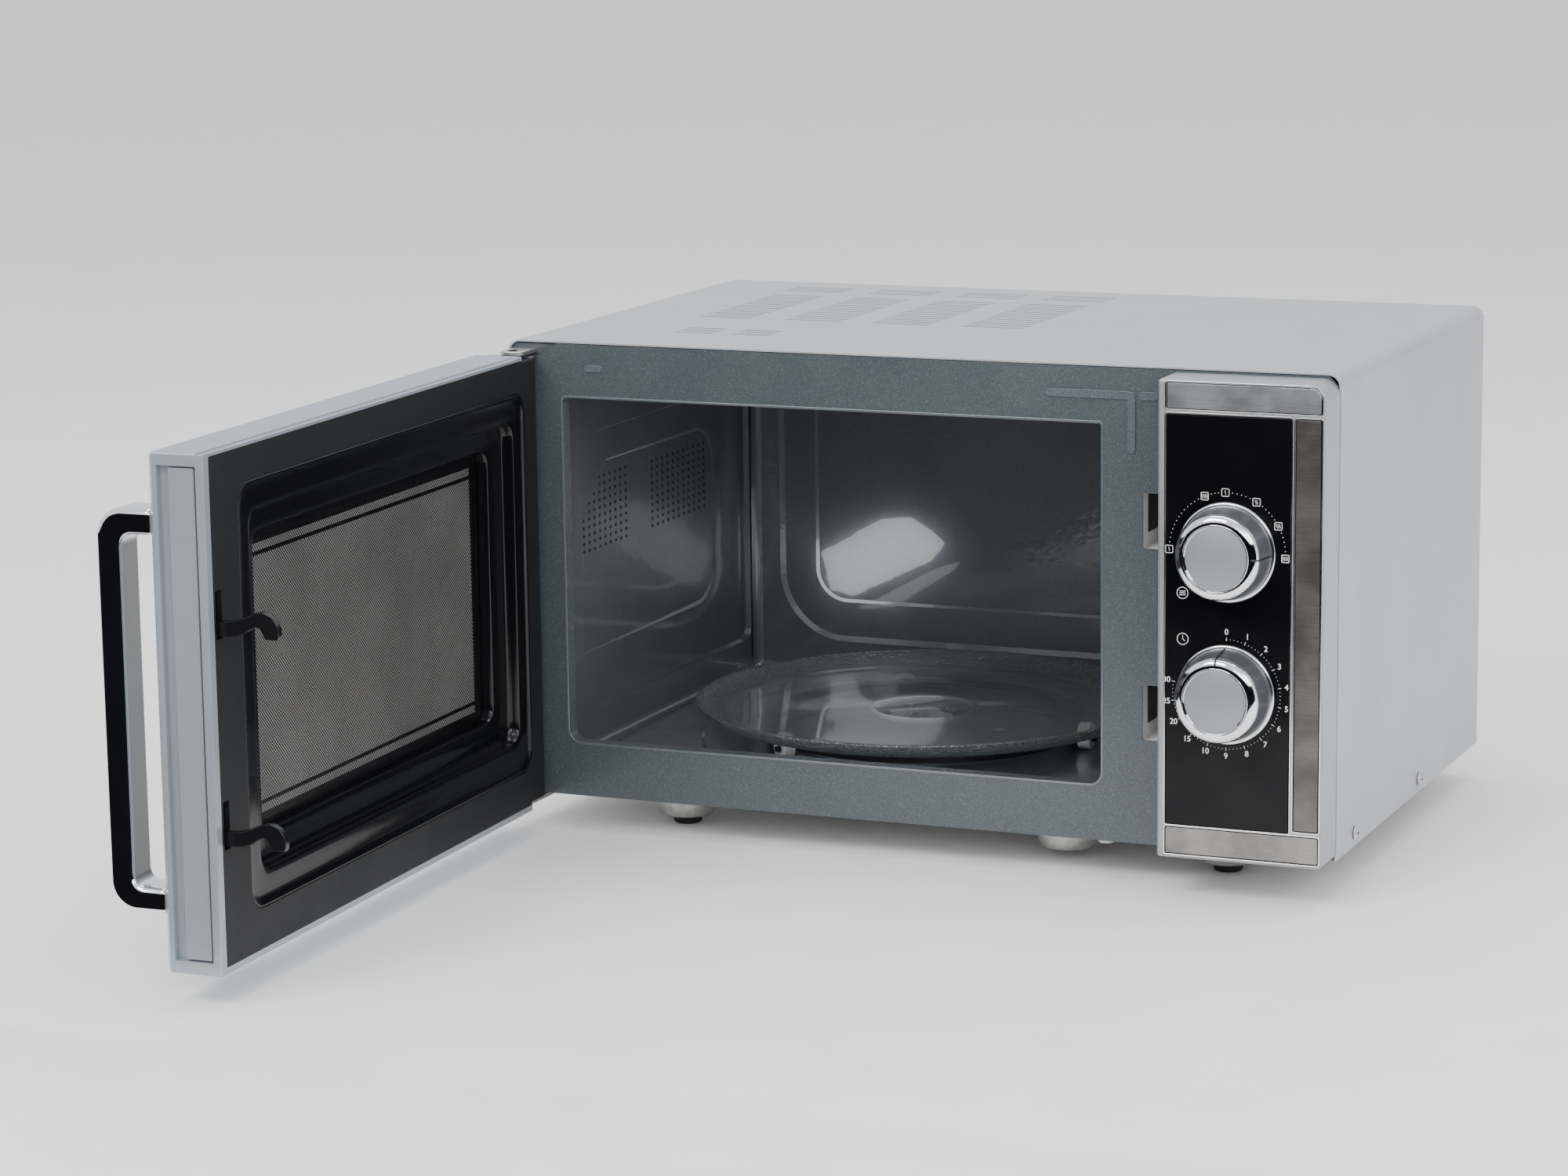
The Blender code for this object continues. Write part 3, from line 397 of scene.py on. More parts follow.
def make_looks():
    """Every named finish."""
    return {
        "cover": grained("cover_paint", (0.415, 0.425, 0.45), 0.36, 0.3, 1300.0, 0.10, 0.015),
        "plate": speckled("plate_enamel", (0.058, 0.074, 0.083), (0.165, 0.205, 0.225), 0.42, 0.10, 0.45,
                          0.2),
        # lighter, glossier copy of the plate enamel for the embossed ribs and the mouth lip: the lighter
        # colour is a painted highlight on their edges
        "ribs": speckled("plate_ribs_painted_highlight", (0.095, 0.115, 0.130), (0.20, 0.235, 0.26), 0.22, 0.05, 1.0,
                         0.07),
        "cavity": speckled("cavity_enamel", (0.112, 0.122, 0.143), (0.19, 0.205, 0.23), 0.36, 0.22, 0.8,
                           0.05),
        "bezel": grained("bezel_paint", (0.33, 0.34, 0.35), 0.30, 0.4, 1500.0, 0.08, 0.015),
        "frame": grained("door_frame_paint", (0.33, 0.37, 0.415), 0.32, 0.45, 1300.0, 0.10, 0.02),
        "fascia": polished("fascia_gloss", (0.003, 0.003, 0.004), 0.10, 0.0, 0.16,
                           Specular_IOR_Level=0.22),
        # one brushed steel in three tones, darkest on the side strip and lightest on the top strip: painted
        # shade and painted light
        "steel_side": brushed("brushed_side_painted_shade", (0.15, 0.141, 0.133), (45.0, 45.0, 2600.0), 0.045),
        "steel_low": brushed("brushed_low_painted_shade", (0.29, 0.277, 0.262), (45.0, 45.0, 2600.0), 0.045),
        "steel_top": brushed("brushed_top_painted_light", (0.36, 0.365, 0.375), (45.0, 45.0, 2600.0), 0.035),
        "chrome": polished("chrome_plate", (0.86, 0.87, 0.89), 0.035, 1.0, 0.05),
        "bright": polished("bright_edge", (0.80, 0.81, 0.82), 0.12, 1.0, 0.08),
        "knob_cap": grained("knob_cap_satin", (0.29, 0.30, 0.325), 0.42, 0.5, 2200.0, 0.25, 0.01),
        "knob_side": grained("knob_side_satin", (0.20, 0.21, 0.225), 0.30, 0.7, 2200.0, 0.10, 0.01),
        "margin": grained("choke_grain", (0.013, 0.0135, 0.0145), 0.48, 0.0, 1500.0, 0.45, 0.06,
                          Specular_IOR_Level=0.2),
        "gloss": polished("choke_gloss", (0.004, 0.004, 0.005), 0.10, 0.0, 0.06, Specular_IOR_Level=0.4),
        "hook": polished("hook_plastic", (0.006, 0.006, 0.007), 0.16, 0.0, 0.12, Specular_IOR_Level=0.4),
        "black": grained("black_plastic", (0.012, 0.012, 0.013), 0.45),
        "screen": grained("screen_sheet", (0.004, 0.004, 0.005), 0.40, Specular_IOR_Level=0.2),
        # light grey dots on the screen: painted light seen through its holes
        "dots": grained("screen_light", (0.46, 0.46, 0.45), 0.5, vary=0.2),
        "film": new_film(),
        "pane": polished("dark_pane", (0.004, 0.004, 0.005), 0.03, 0.0, 0.04, Coat_Weight=1.0),
        "print": grained("white_print", (0.74, 0.74, 0.74), 0.5),
        "zinc": galvanised("zinc_plate", (0.56, 0.56, 0.55)),
        "rubber": grained("foot_rubber", (0.010, 0.010, 0.010), 0.62, 0.0, 1000.0, 0.3),
        "housing": grained("housing_plastic", (0.68, 0.68, 0.67), 0.42),
        "white": grained("white_plastic", (0.72, 0.72, 0.71), 0.35),
        "glass": clear_glass("tray_glass", (0.84, 0.91, 0.89), 0.95),
        "rim_glass": clear_glass("tray_rim_glass", (0.80, 0.90, 0.87), 0.94, (520.0, 1.0)),
        "mica": grained("mica_sheet", (0.36, 0.30, 0.20), 0.5, 0.0, 300.0, 0.2, 0.15),
        "iron": grained("varnished_iron", (0.05, 0.05, 0.055), 0.4, 0.6),
        "aluminium": brushed("cast_aluminium", (0.62, 0.63, 0.64), (30.0, 400.0, 30.0), 0.1),
    }


# ---- shapes, in millimetres -----------------------------------------------------------------
SHEET = 0.8
CARVED_SHARP = 35.0


def at(axis, point, along):
    """Point of an outline, taken to a place along the axis."""
    a, b = point
    return {"x": (along, a, b), "y": (a, along, b), "z": (a, b, along)}[axis]


def rounded(rect, radius, steps=8):
    """Rounded rectangle; radius is one number or lower right, upper right, upper left, lower left."""
    x0, z0, x1, z1 = rect
    radii = radius if isinstance(radius, tuple) else (radius,) * 4
    corners = ((x1, z0, -1, 1, -90), (x1, z1, -1, -1, 0), (x0, z1, 1, -1, 90), (x0, z0, 1, 1, 180))
    points = []
    for (x, z, inward_x, inward_z, start), r in zip(corners, radii):
        points += arc((x + inward_x * r, z + inward_z * r), r, start, start + 90.0, steps)
    return points


def circle(centre, radius, steps=48):
    """Outline of a circle."""
    return [(centre[0] + radius * math.cos(math.tau * i / steps),
             centre[1] + radius * math.sin(math.tau * i / steps)) for i in range(steps)]


def polar(centre, radius, degrees):
    """Point at a radius and angle from centre."""
    angle = math.radians(degrees)
    return (centre[0] + radius * math.cos(angle), centre[1] + radius * math.sin(angle))


def arc(centre, radius, start, end, steps=8):
    """Points along an arc, angles in degrees."""
    return [polar(centre, radius, start + (end - start) * i / steps) for i in range(steps + 1)]


def inset(rect, amount):
    """Rectangle made smaller on every side."""
    return (rect[0] + amount, rect[1] + amount, rect[2] - amount, rect[3] - amount)


def bands(axis, rings, closed=False, capped=True):
    """Loft through (outline, place along the axis) rings with equal counts."""
    shape = bmesh.new()
    loops = [[shape.verts.new(at(axis, point, along)) for point in outline] for outline, along in rings]
    pairs = list(zip(loops, loops[1:]))
    if closed:
        pairs.append((loops[-1], loops[0]))
    count = len(loops[0])
    for first, second in pairs:
        for i in range(count):
            j = (i + 1) % count
            shape.faces.new((first[i], first[j], second[j], second[i]))
    if capped and not closed:
        shape.faces.new(loops[0])
        shape.faces.new(loops[-1])
    return shape


def prism(outline, axis, low, high):
    """Outline drawn out along the axis."""
    return bands(axis, ((outline, low), (outline, high)))


def ring_prism(outer, inner, axis, low, high):
    """The same with a hole; both outlines have the same count of points."""
    return bands(axis, ((outer, low), (outer, high), (inner, high), (inner, low)), closed=True)


def boxes(*corners):
    """Boxes given as (low corner, high corner)."""
    shape = bmesh.new()
    for low, high in corners:
        size = Vector(high) - Vector(low)
        middle = (Vector(high) + Vector(low)) / 2
        matrix = Matrix.Translation(middle) @ Matrix.Diagonal((*size, 1.0))
        bmesh.ops.create_cube(shape, size=1.0, matrix=matrix)
    return shape


def turned(profile, centre, axis, steps=96):
    """Profile of (radius, distance along the axis); it is solid if it starts and ends at radius 0."""
    axis = Vector(axis)
    side = axis.orthogonal().normalized()
    shape = bmesh.new()
    verts = [shape.verts.new(Vector(centre) + side * r + axis * h) for r, h in profile]
    edges = [shape.edges.new(pair) for pair in zip(verts, verts[1:])]
    if profile[0][0] > 0.0:
        edges.append(shape.edges.new((verts[-1], verts[0])))
    bmesh.ops.spin(shape, geom=verts + edges, cent=centre, axis=axis, steps=steps, angle=math.tau,
                   use_merge=True)
    bmesh.ops.remove_doubles(shape, verts=shape.verts, dist=0.0005)
    return shape


def merged(*shapes):
    """One bmesh from several."""
    whole = bmesh.new()
    for shape in shapes:
        mesh = bpy.data.meshes.new("part")
        shape.to_mesh(mesh)
        shape.free()
        whole.from_mesh(mesh)
        bpy.data.meshes.remove(mesh)
    return whole


def plate_sheet(outline, holes, axis, along):
    """Single face sheet with holes."""
    shape = bmesh.new()
    for loop in (outline, *holes):
        verts = [shape.verts.new(at(axis, point, along)) for point in loop]
        for i, vert in enumerate(verts):
            shape.edges.new((vert, verts[(i + 1) % len(verts)]))
    bmesh.ops.triangle_fill(shape, edges=shape.edges, use_beauty=True, use_dissolve=False)
    return shape


def plate(outline, holes, axis, low, high):
    """Flat sheet with holes, between two places along the axis."""
    shape = plate_sheet(outline, holes, axis, low)
    grown = bmesh.ops.extrude_face_region(shape, geom=shape.faces[:])
    moved = [item for item in grown["geom"] if isinstance(item, bmesh.types.BMVert)]
    bmesh.ops.translate(shape, vec=Vector(at(axis, (0.0, 0.0), high - low)), verts=moved)
    return shape


def soften(made, width, segments, angle):
    """Bevel the edges sharper than angle; width in metres."""
    bevel = made.modifiers.new("soft_edges", "BEVEL")
    bevel.width = width
    bevel.segments = segments
    bevel.limit_method = "ANGLE"
    bevel.angle_limit = angle
    return bevel


def thicken(made, offset):
    """Give a single face sheet its thickness."""
    sheet = made.modifiers.new("sheet", "SOLIDIFY")
    sheet.thickness = SHEET * MM
    sheet.offset = offset


def piece(name, shape, body, looks, nodes=(), matrix=None, bevel=0.0, segments=3, sharp=40.0):
    """Finish a bmesh as an object: into the row's frame, shaded, bevelled, painted, riding on body."""
    bmesh.ops.recalc_face_normals(shape, faces=shape.faces)
    bmesh.ops.transform(shape, matrix=matrix or CABINET, verts=shape.verts)
    mesh = bpy.data.meshes.new(name)
    shape.to_mesh(mesh)
    shape.free()
    mesh.shade_smooth()
    mesh.set_sharp_from_angle(angle=math.radians(sharp))
    made = linked(name, mesh)
    for look in looks if isinstance(looks, (list, tuple)) else [looks]:
        mesh.materials.append(LOOKS[look])
    if bevel:
        soften(made, bevel * MM, segments, math.radians(sharp - 10.0)).harden_normals = True
    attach(made, body)
    if nodes:
        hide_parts(*nodes)
    return made


def carve(made, shape, matrix=None):
    """Cut a shape out of a piece for good, and put the piece's bevel back."""
    bmesh.ops.recalc_face_normals(shape, faces=shape.faces)
    bmesh.ops.transform(shape, matrix=matrix or CABINET, verts=shape.verts)
    cutter = linked("cutter", bpy.data.meshes.new("cutter"))
    shape.to_mesh(cutter.data)
    shape.free()
    kept = [(bevel.width, bevel.segments, bevel.angle_limit) for bevel in made.modifiers]
    made.modifiers.clear()
    modifier = made.modifiers.new("carve", "BOOLEAN")
    modifier.operation = "DIFFERENCE"
    modifier.object = cutter
    evaluated = made.evaluated_get(bpy.context.evaluated_depsgraph_get())
    carved = bpy.data.meshes.new_from_object(evaluated)
    made.modifiers.clear()
    made.data = carved
    carved.shade_smooth()
    carved.set_sharp_from_angle(angle=math.radians(CARVED_SHARP))
    for width, segments, angle in kept:
        soften(made, width, segments, angle).harden_normals = True
    bpy.data.objects.remove(cutter)


# ---- cabinet ------------------------------------------------------------------------------
COVER_RADIUS = 7.0
COVER_SHEET = 1.0
VENT_PITCH = 9.0
VENT_SLIT = 3.8
# first slit's y, how many slits, and where each column starts and ends
VENT_ROWS = ((57.0, 3, ((77.0, 101.0), (112.0, 135.0))),
             (128.0, 13, ((61.0, 94.0), (114.0, 150.0), (168.0, 204.0), (224.0, 262.0))),
             (260.0, 3, ((58.0, 98.0), (114.0, 155.0), (170.0, 211.0), (225.0, 266.0))))


def outer_cover():
    """Folded cover with finely rounded folds and round-ended vent slits."""
    x0, y0, z0, x1, y1, z1 = node_box("outer_cover")
    r = COVER_RADIUS
    folds = []
    for radius in (r, r - COVER_SHEET):
        folds.append([*arc((x1 - r, z1 - r), radius, 0.0, 90.0, 12),
                      *arc((x0 + r, z1 - r), radius, 90.0, 180.0, 12)])
    outside, inside = folds
    outline = [(x1, z0), *outside, (x0, z0), (x0 + COVER_SHEET, z0), *reversed(inside),
               (x1 - COVER_SHEET, z0)]
    cover = piece("outer_cover_skin", prism(outline, "y", y0, y1), "cabinet", "cover", ["outer_cover"],
                  bevel=0.3, segments=2)
    slits = []
    for first, count, columns in VENT_ROWS:
        for i in range(count):
            y = first + i * VENT_PITCH
            for a, b in columns:
                slits.append(prism(rounded((a, y, b, y + VENT_SLIT), VENT_SLIT / 2 - 0.01, 4), "z",
                                   z1 - 3.0, z1 + 2.0))
    carve(cover, merged(*slits))


OPENING = (32.2, 51.1, 352.2, 250.2)
LATCH_SLOTS = ((78.3, 108.5), (183.0, 213.0))
RIB_HEIGHT = 0.85
RIB_HALF = 2.2
RIB_CORNER = (368.6, 265.2)


def front_plate():
    """Enamelled plate with a rolled mouth, latch slots and embossed marks."""
    x0, y0, z0, x1, y1, z1 = node_box("front_plate")
    outline = [(x1, z0), (x1, z1 - 5.0), (x1 - 5.0, z1), (30.0, z1), (19.0, 272.8), (9.0, 272.8),
               (x0, 266.0), (x0, z0)]
    mouth = rounded(OPENING, (8.0, 2.0, 2.0, 8.0))
    slots = [rounded((374.8, a, 386.5, b), 1.0, 3) for a, b in LATCH_SLOTS]
    bay = rounded((408.0, 60.0, 470.0, 250.0), 2.0, 3)
    piece("front_plate_sheet", plate(outline, [mouth, *slots, bay], "y", y0, y1), "cabinet", "plate",
          ["front_plate"])
    # the rolled lip in the lighter rib enamel: painted highlight along the mouth's edge
    lip = ring_prism(rounded(inset(OPENING, -0.6), (8.6, 2.6, 2.6, 8.6)),
                     rounded(inset(OPENING, 0.9), (7.1, 1.1, 1.1, 7.1)), "y", y0 - 0.35, y0 + 9.0)
    piece("mouth_lip", lip, "cabinet", "ribs", bevel=0.45)
    embossing(y0)


def embossing(y0):
    """Low pressed ribs on the front plate, in a lighter enamel that paints highlights on them."""
    w = RIB_HALF
    x, z = RIB_CORNER
    ell = [(322.6, z - w), (x - w, z - w), (x - w, 236.3), (x - w * 0.7, 234.6), (x, 234.1),
           (x + w * 0.7, 234.6), (x + w, 236.3), (x + w, z - w), (x + w * 0.7, z + w * 0.7),
           (x - w, z + w), (322.6, z + w), (321.0, z + w * 0.7), (320.4, z), (321.0, z - w * 0.7)]
    outlines = (ell, rounded((372.6, z - w, 383.6, z + w), w - 0.01, 6),
                rounded((47.6, 264.6, 57.8, 268.4), 1.85, 6))
    ribs = [prism(outline, "y", y0 - RIB_HEIGHT, y0 + 0.1) for outline in outlines]
    piece("plate_embossing", merged(*ribs), "cabinet", "ribs", bevel=0.6, segments=4)


CAVITY = (21.7, 36.0, 362.3, 262.0)
CAVITY_FRONT = 1.6
CAVITY_BACK = 295.0
CORNER_ROUNDING = 9.0
# pressed areas: top outline, foot outline, how far the step goes
BACK_STEPS = ((rounded((39.0, 57.0, 345.0, 251.0), 44.0, 14),
               rounded((42.5, 60.5, 341.5, 247.5), 40.5, 14), 1.3),
              (rounded((63.0, 82.0, 321.0, 227.0), 21.0, 14),
               rounded((65.0, 84.0, 319.0, 225.0), 19.0, 14), 0.6))
TRACK = (192.0, 150.0)
TRACK_STEPS = ((circle(TRACK, 132.0, 96), circle(TRACK, 130.0, 96), -0.9),
               (circle(TRACK, 84.0, 96), circle(TRACK, 82.0, 96), 0.9))
LEFT_POCKET = ((45.0, 79.0), (66.0, 57.5), (288.0, 57.0), (288.0, 221.0), (68.0, 221.0), (45.0, 199.0))
LEFT_INNER = ((52.0, 91.5), *arc((214.0, 117.5), 26.0, -90.0, 0.0),
              *arc((214.0, 175.0), 26.0, 0.0, 90.0), (84.0, 201.0), (52.0, 172.0))
LEFT_SINK = 3.0
LEFT_INNER_SINK = 0.6
# fields of small holes in the left wall: y range, z range, columns, rows
PERFORATIONS = ((48.0, 113.0, 151.0, 192.0, 10, 10), (150.0, 226.0, 151.0, 190.0, 11, 10))


def shrunk(outline, amount):
    """Outline moved towards its middle by about amount."""
    middle = sum((Vector(p) for p in outline), Vector((0.0, 0.0))) / len(outline)
    return [tuple(Vector(p) + (middle - Vector(p)).normalized() * amount) for p in outline]


def sunk_wall(boundary, steps, axis, along):
    """Wall with nested pressed areas: each step is (top outline, foot outline, how far it goes)."""
    shape = plate_sheet(boundary, [steps[0][0]], axis, along)
    for k, (top, foot, sink) in enumerate(steps):
        shape = merged(shape, bands(axis, ((top, along), (foot, along + sink)), capped=False))
        along += sink
        inner = [steps[k + 1][0]] if k + 1 < len(steps) else []
        shape = merged(shape, plate_sheet(foot, inner, axis, along))
    bmesh.ops.remove_doubles(shape, verts=shape.verts, dist=0.01)
    return shape


def cavity_walls():
    """Sunk left wall and back, floor with a track, roof and right wall, joined and rounded."""
    x0, z0, x1, z1 = CAVITY
    y0, y1 = CAVITY_FRONT, CAVITY_BACK
    side = [(y0, z0), (y1, z0), (y1, z1), (y0, z1)]
    across = [(x0, y0), (x1, y0), (x1, y1), (x0, y1)]
    left = sunk_wall(side, ((LEFT_POCKET, shrunk(LEFT_POCKET, 2.6), -LEFT_SINK),
                            (LEFT_INNER, shrunk(LEFT_INNER, 2.2), -LEFT_INNER_SINK)), "x", x0)
    back = sunk_wall([(x0, z0), (x1, z0), (x1, z1), (x0, z1)], BACK_STEPS, "y", y1)
    floor = sunk_wall(across, TRACK_STEPS, "z", z0)
    roof = plate_sheet(across, [], "z", z1)
    right = plate_sheet(side, [], "x", x1)
    walls = merged(left, back, floor, roof, right)
    bmesh.ops.remove_doubles(walls, verts=walls.verts, dist=0.01)
    bmesh.ops.recalc_face_normals(walls, faces=walls.faces)
    corners = [edge for edge in walls.edges
               if len(edge.link_faces) == 2 and edge.calc_face_angle() > math.radians(70.0)]
    bmesh.ops.bevel(walls, geom=corners, offset=CORNER_ROUNDING, segments=6, profile=0.5, affect="EDGES",
                    clamp_overlap=True)
    return walls


def cavity():
    """Pressed enamel box, with the small holes in its left wall drawn as black discs of painted shade."""
    body = piece("cavity_walls", cavity_walls(), "cabinet", "cavity", ["cavity_box"], bevel=1.3,
                 segments=4, sharp=18.0)
    body.modifiers["soft_edges"].angle_limit = math.radians(9.0)
    thicken(body, 1.0)
    holes = []
    wall = CAVITY[0] - LEFT_SINK - LEFT_INNER_SINK
    for a, b, c, d, columns, rows in PERFORATIONS:
        for i in range(columns):
            for j in range(rows):
                y = a + (b - a) * i / (columns - 1)
                z = c + (d - c) * j / (rows - 1)
                holes.append(prism(circle((y, z), 1.0, 8), "x", wall - 0.3, wall + 0.25))
    # black discs on the uncut wall: painted shade seen in the holes
    piece("cavity_perforation_shade", merged(*holes), "cabinet", "black")


FEET = ("front_left", "front_right", "rear_left", "rear_right")
SPARE_CONE = (318.6, 41.4, 0.0)
SPARE_CONE_LOW = 5.6
BOSS = (350.0, 14.0, 0.0)
UP = (0, 0, 1)
FOOT_PROFILE = ((0.0, 0.0), (6.6, 0.0), (7.4, 0.3), (8.0, 1.1), (8.0, 4.1), (7.6, 4.7), (2.3, 4.7),
                (2.3, 9.5), (0.0, 9.5))


def base():
    """Bottom sheet with smooth pressed cones and the rubber feet in them."""
    x0, y0, _, x1, y1, z1 = node_box("base_plate")
    sheet = z1 - 1.0
    places = {name: (*box_middle(f"foot_{name}")[:2], 0.0) for name in FEET}
    tops = [(places[name], node_box(f"foot_{name}")[5] - 4.5) for name in FEET]
    cones = []
    for centre, low in (*tops, (SPARE_CONE, SPARE_CONE_LOW)):
        profile = [(0.0, low), (12.6, low), (14.4, low + 0.5), (15.6, low + 1.8), (17.2, low + 5.0),
                   (18.6, low + 9.5), (20.4, sheet + 0.1), (18.6, sheet + 0.6), (0.0, low + 1.2)]
        cones.append(turned(profile, centre, UP, 64))
    boss = [(0.0, 16.6), (4.2, 16.8), (5.0, 17.8), (5.0, sheet + 0.1), (0.0, sheet + 0.1)]
    cones.append(turned(boss, BOSS, UP, 32))
    shape = merged(boxes(((x0, y0, sheet), (x1, y1, z1))), *cones)
    piece("base_sheet", shape, "cabinet", "zinc", ["base_plate"])
    for name in FEET:
        piece(f"foot_cap_{name}", turned(FOOT_PROFILE, places[name], UP, 48), "cabinet", "rubber",
              [f"foot_{name}"])


SCREW_PROFILE = ((0.0, -9.0), (1.8, -9.0), (1.8, 0.2), (3.6, 0.2), (4.0, 0.6), (3.7, 1.3), (2.8, 1.9),
                 (1.4, 2.15), (0.0, 2.2))
CROSS_REACH = 2.2
CROSS_HALF = 0.38


def screws():
    """Pan heads with a cross recess."""
    reach, half = CROSS_REACH, CROSS_HALF
    half_cross = ((half, half), (half, reach), (-half, reach), (-half, half), (-reach, half),
                  (-reach, -half))
    for side, way in (("left", -1.0), ("right", 1.0)):
        for name in ("front", "middle"):
            node = f"side_screw_{side}_{name}"
            box = node_box(node)
            _, y, z = box_middle(node)
            seat = (box[3] if way > 0 else box[0]) - way * 2.2
            head = turned(SCREW_PROFILE, (seat, y, z), (way, 0, 0), 40)
            screw = piece(f"screw_head_{side}_{name}", head, "cabinet", "zinc", [node])
            x = seat + way * 1.9
            cross = [(y + a * turn, z + b * turn) for turn in (1.0, -1.0) for a, b in half_cross]
            carve(screw, prism(cross, "x", x - 0.9, x + 0.9))


def latch_housings():
    """Light moulding seen through the latch slots: liner walls, a sloped ramp, and black strips of painted
    shadow on the liner walls.
    """
    x0, y0, z0, x1, y1, z1 = node_box("latch_housing")
    parts = [boxes(((x0, 41.0, z0), (x1, y1, z1)))]
    slot_shadows = []
    for a, b in LATCH_SLOTS:
        outside = rounded((371.5, a - 3.0, 389.6, b + 3.0), 0.6, 2)
        inside = rounded((374.0, a - 0.8, 387.4, b + 0.8), 0.6, 2)
        parts.append(ring_prism(outside, inside, "y", y0, 41.2))
        ramp_line = [(3.0, a - 0.7), (36.0, a - 0.7), (36.0, a + 0.1), (20.0, a + 0.1)]
        parts.append(prism(ramp_line, "x", 374.1, 387.3))
        # black strip on the liner wall in the upper part of each slot: painted shadow
        slot_shadows.append(boxes(((373.9, 12.0, a + 7.0), (374.3, 40.0, b - 1.0))))
    piece("latch_block", merged(*parts), "cabinet", "housing", ["latch_housing"], bevel=0.4)
    piece("latch_gap_shadows", merged(*slot_shadows), "cabinet", "black")


def hinge_brackets():
    """Zinc tongues with their pins and the pins' heads, and the plate behind the upper one."""
    hinge = CABINET.inverted() @ Vector(JOINTS["door_hinge"]["pos_m"])
    foot = (hinge.x, hinge.y, 0.0)
    for name, way in (("upper", -1.0), ("lower", 1.0)):
        x0, y0, z0, x1, y1, z1 = node_box(f"hinge_bracket_{name}")
        top = z1 if name == "upper" else z0 + 2.4
        tongue = prism(rounded((x0, y0, x1, y1), 5.5), "z", top - 2.4, top)
        tip, seat, head = (z0, top - 1.2, top) if name == "upper" else (z1, z0 + 1.2, z0)
        pin = [(0.0, tip - way * 0.2), (2.6, tip - way * 0.2), (3.0, tip - way), (3.0, seat), (0.0, seat)]
        cap = [(0.0, head), (3.6, head), (4.4, head + way * 0.5), (4.6, head + way * 1.4),
               (0.0, head + way * 1.4)]
        shape = merged(tongue, turned(pin, foot, UP, 40), turned(cap, foot, UP, 40))
        piece(f"hinge_{name}", shape, "cabinet", "zinc", [f"hinge_bracket_{name}"], bevel=0.4)
    backing = boxes(((1.6, 1.6, 250.0), (34.0, 3.0, 279.4)))
    piece("hinge_backing", backing, "cabinet", "plate")


# ---- control panel ------------------------------------------------------------------------
RECESSES = ("fascia_panel", "trim_strip_side", "trim_strip_bottom", "trim_strip_top")
# the strips are one steel; their different tones are painted light and shade
STRIP_LOOKS = (("trim_strip_side", "steel_side"), ("trim_strip_bottom", "steel_low"),
               ("trim_strip_top", "steel_top"))
RECESS_GAP = 0.55
EDGE_LINE = 0.75


def corner_radii(node, radius):
    """Corner radii of a recess or strip; the top strip's upper right corner follows the bezel."""
    return (radius, radius + 5.0, radius, radius) if node == "trim_strip_top" else radius


def bezel(recesses):
    """Silver bezel: rounded shell, face with its recesses, lip beside the door, black floor."""
    x0, y0, z0, x1, y1, z1 = node_box("control_bezel")
    body = (x0 + 1.7, z0, x1, z1)
    outer = rounded(body, (2.5, 9.5, 1.5, 1.5), 12)
    edge = rounded(inset(body, 1.3), (1.2, 8.2, 0.6, 0.6), 12)
    hollow = rounded(inset(body, 2.6), (0.9, 6.9, 0.5, 0.5), 12)
    shell = bands("y", ((outer, y1), (outer, y0 + 1.4), (edge, y0), (edge, y0 + 1.2), (hollow, y0 + 3.0),
                        (hollow, y1)), closed=True)
    holes = [rounded(rect, corner_radii(node, 1.0), 8) for node, rect in recesses.items()]
    face = plate(edge, holes, "y", y0, y0 + 1.6)
    lip = boxes(((x0, y1 - 7.6, z0), (x0 + 2.4, y1, z1 - 7.0)))
    floor = plate(rounded(inset(body, 1.8), (0.9, 7.7, 0.4, 0.4), 12), [], "y", y0 + 1.7, y0 + 2.6)
    piece("bezel_floor", floor, "cabinet", "black")
    piece("bezel_body", merged(shell, face, lip), "cabinet", "bezel", ["control_bezel"], bevel=0.35)


def control_panel():
    """Bezel, bright lines round its recesses, brushed strips in painted lit and shaded tones, gloss fascia
    and its print.
    """
    recesses = {node: inset(face_rect(node), -RECESS_GAP) for node in RECESSES}
    bezel(recesses)
    front = node_box("control_bezel")[1]
    lines = [ring_prism(rounded(inset(rect, -EDGE_LINE), corner_radii(node, 1.0 + EDGE_LINE), 8),
                        rounded(rect, corner_radii(node, 1.0), 8), "y", front - 0.28, front + 0.5)
             for node, rect in recesses.items()]
    piece("bezel_edge_lines", merged(*lines), "cabinet", "bright", bevel=0.2)
    for node, look in STRIP_LOOKS:
        _, y0, _, _, y1, _ = node_box(node)
        strip = prism(rounded(face_rect(node), corner_radii(node, 0.7), 8), "y", y0, y1)
        piece(f"{node}_plate", strip, "cabinet", look, [node], bevel=0.3)
    _, y0, _, _, y1, _ = node_box("fascia_panel")
    fascia = prism(rounded(face_rect("fascia_panel"), 0.7, 3), "y", y0, y1)
    piece("fascia_gloss_plate", fascia, "cabinet", "fascia", ["fascia_panel"], bevel=0.25)
    dial_marks(y0 - PRINT_RISE)


def text_shape(words, centre, height, y):
    """Dial number as a thin raised print, centred on a point of the fascia."""
    curve = bpy.data.curves.new("number", "FONT")
    curve.body = words
    curve.size = height * 1.38
    curve.offset = height * 0.018
    curve.align_x = "CENTER"
    curve.align_y = "CENTER"
    holder = linked("number", curve)
    mesh = bpy.data.meshes.new_from_object(holder.evaluated_get(bpy.context.evaluated_depsgraph_get()))
    shape = bmesh.new()
    shape.from_mesh(mesh)
    bpy.data.objects.remove(holder)
    for vert in shape.verts:
        vert.co = Vector((centre[0] + vert.co.x, y, centre[1] + vert.co.y))
    return shape


PRINT_RISE = 0.02
PRINT_DEPTH = 0.01
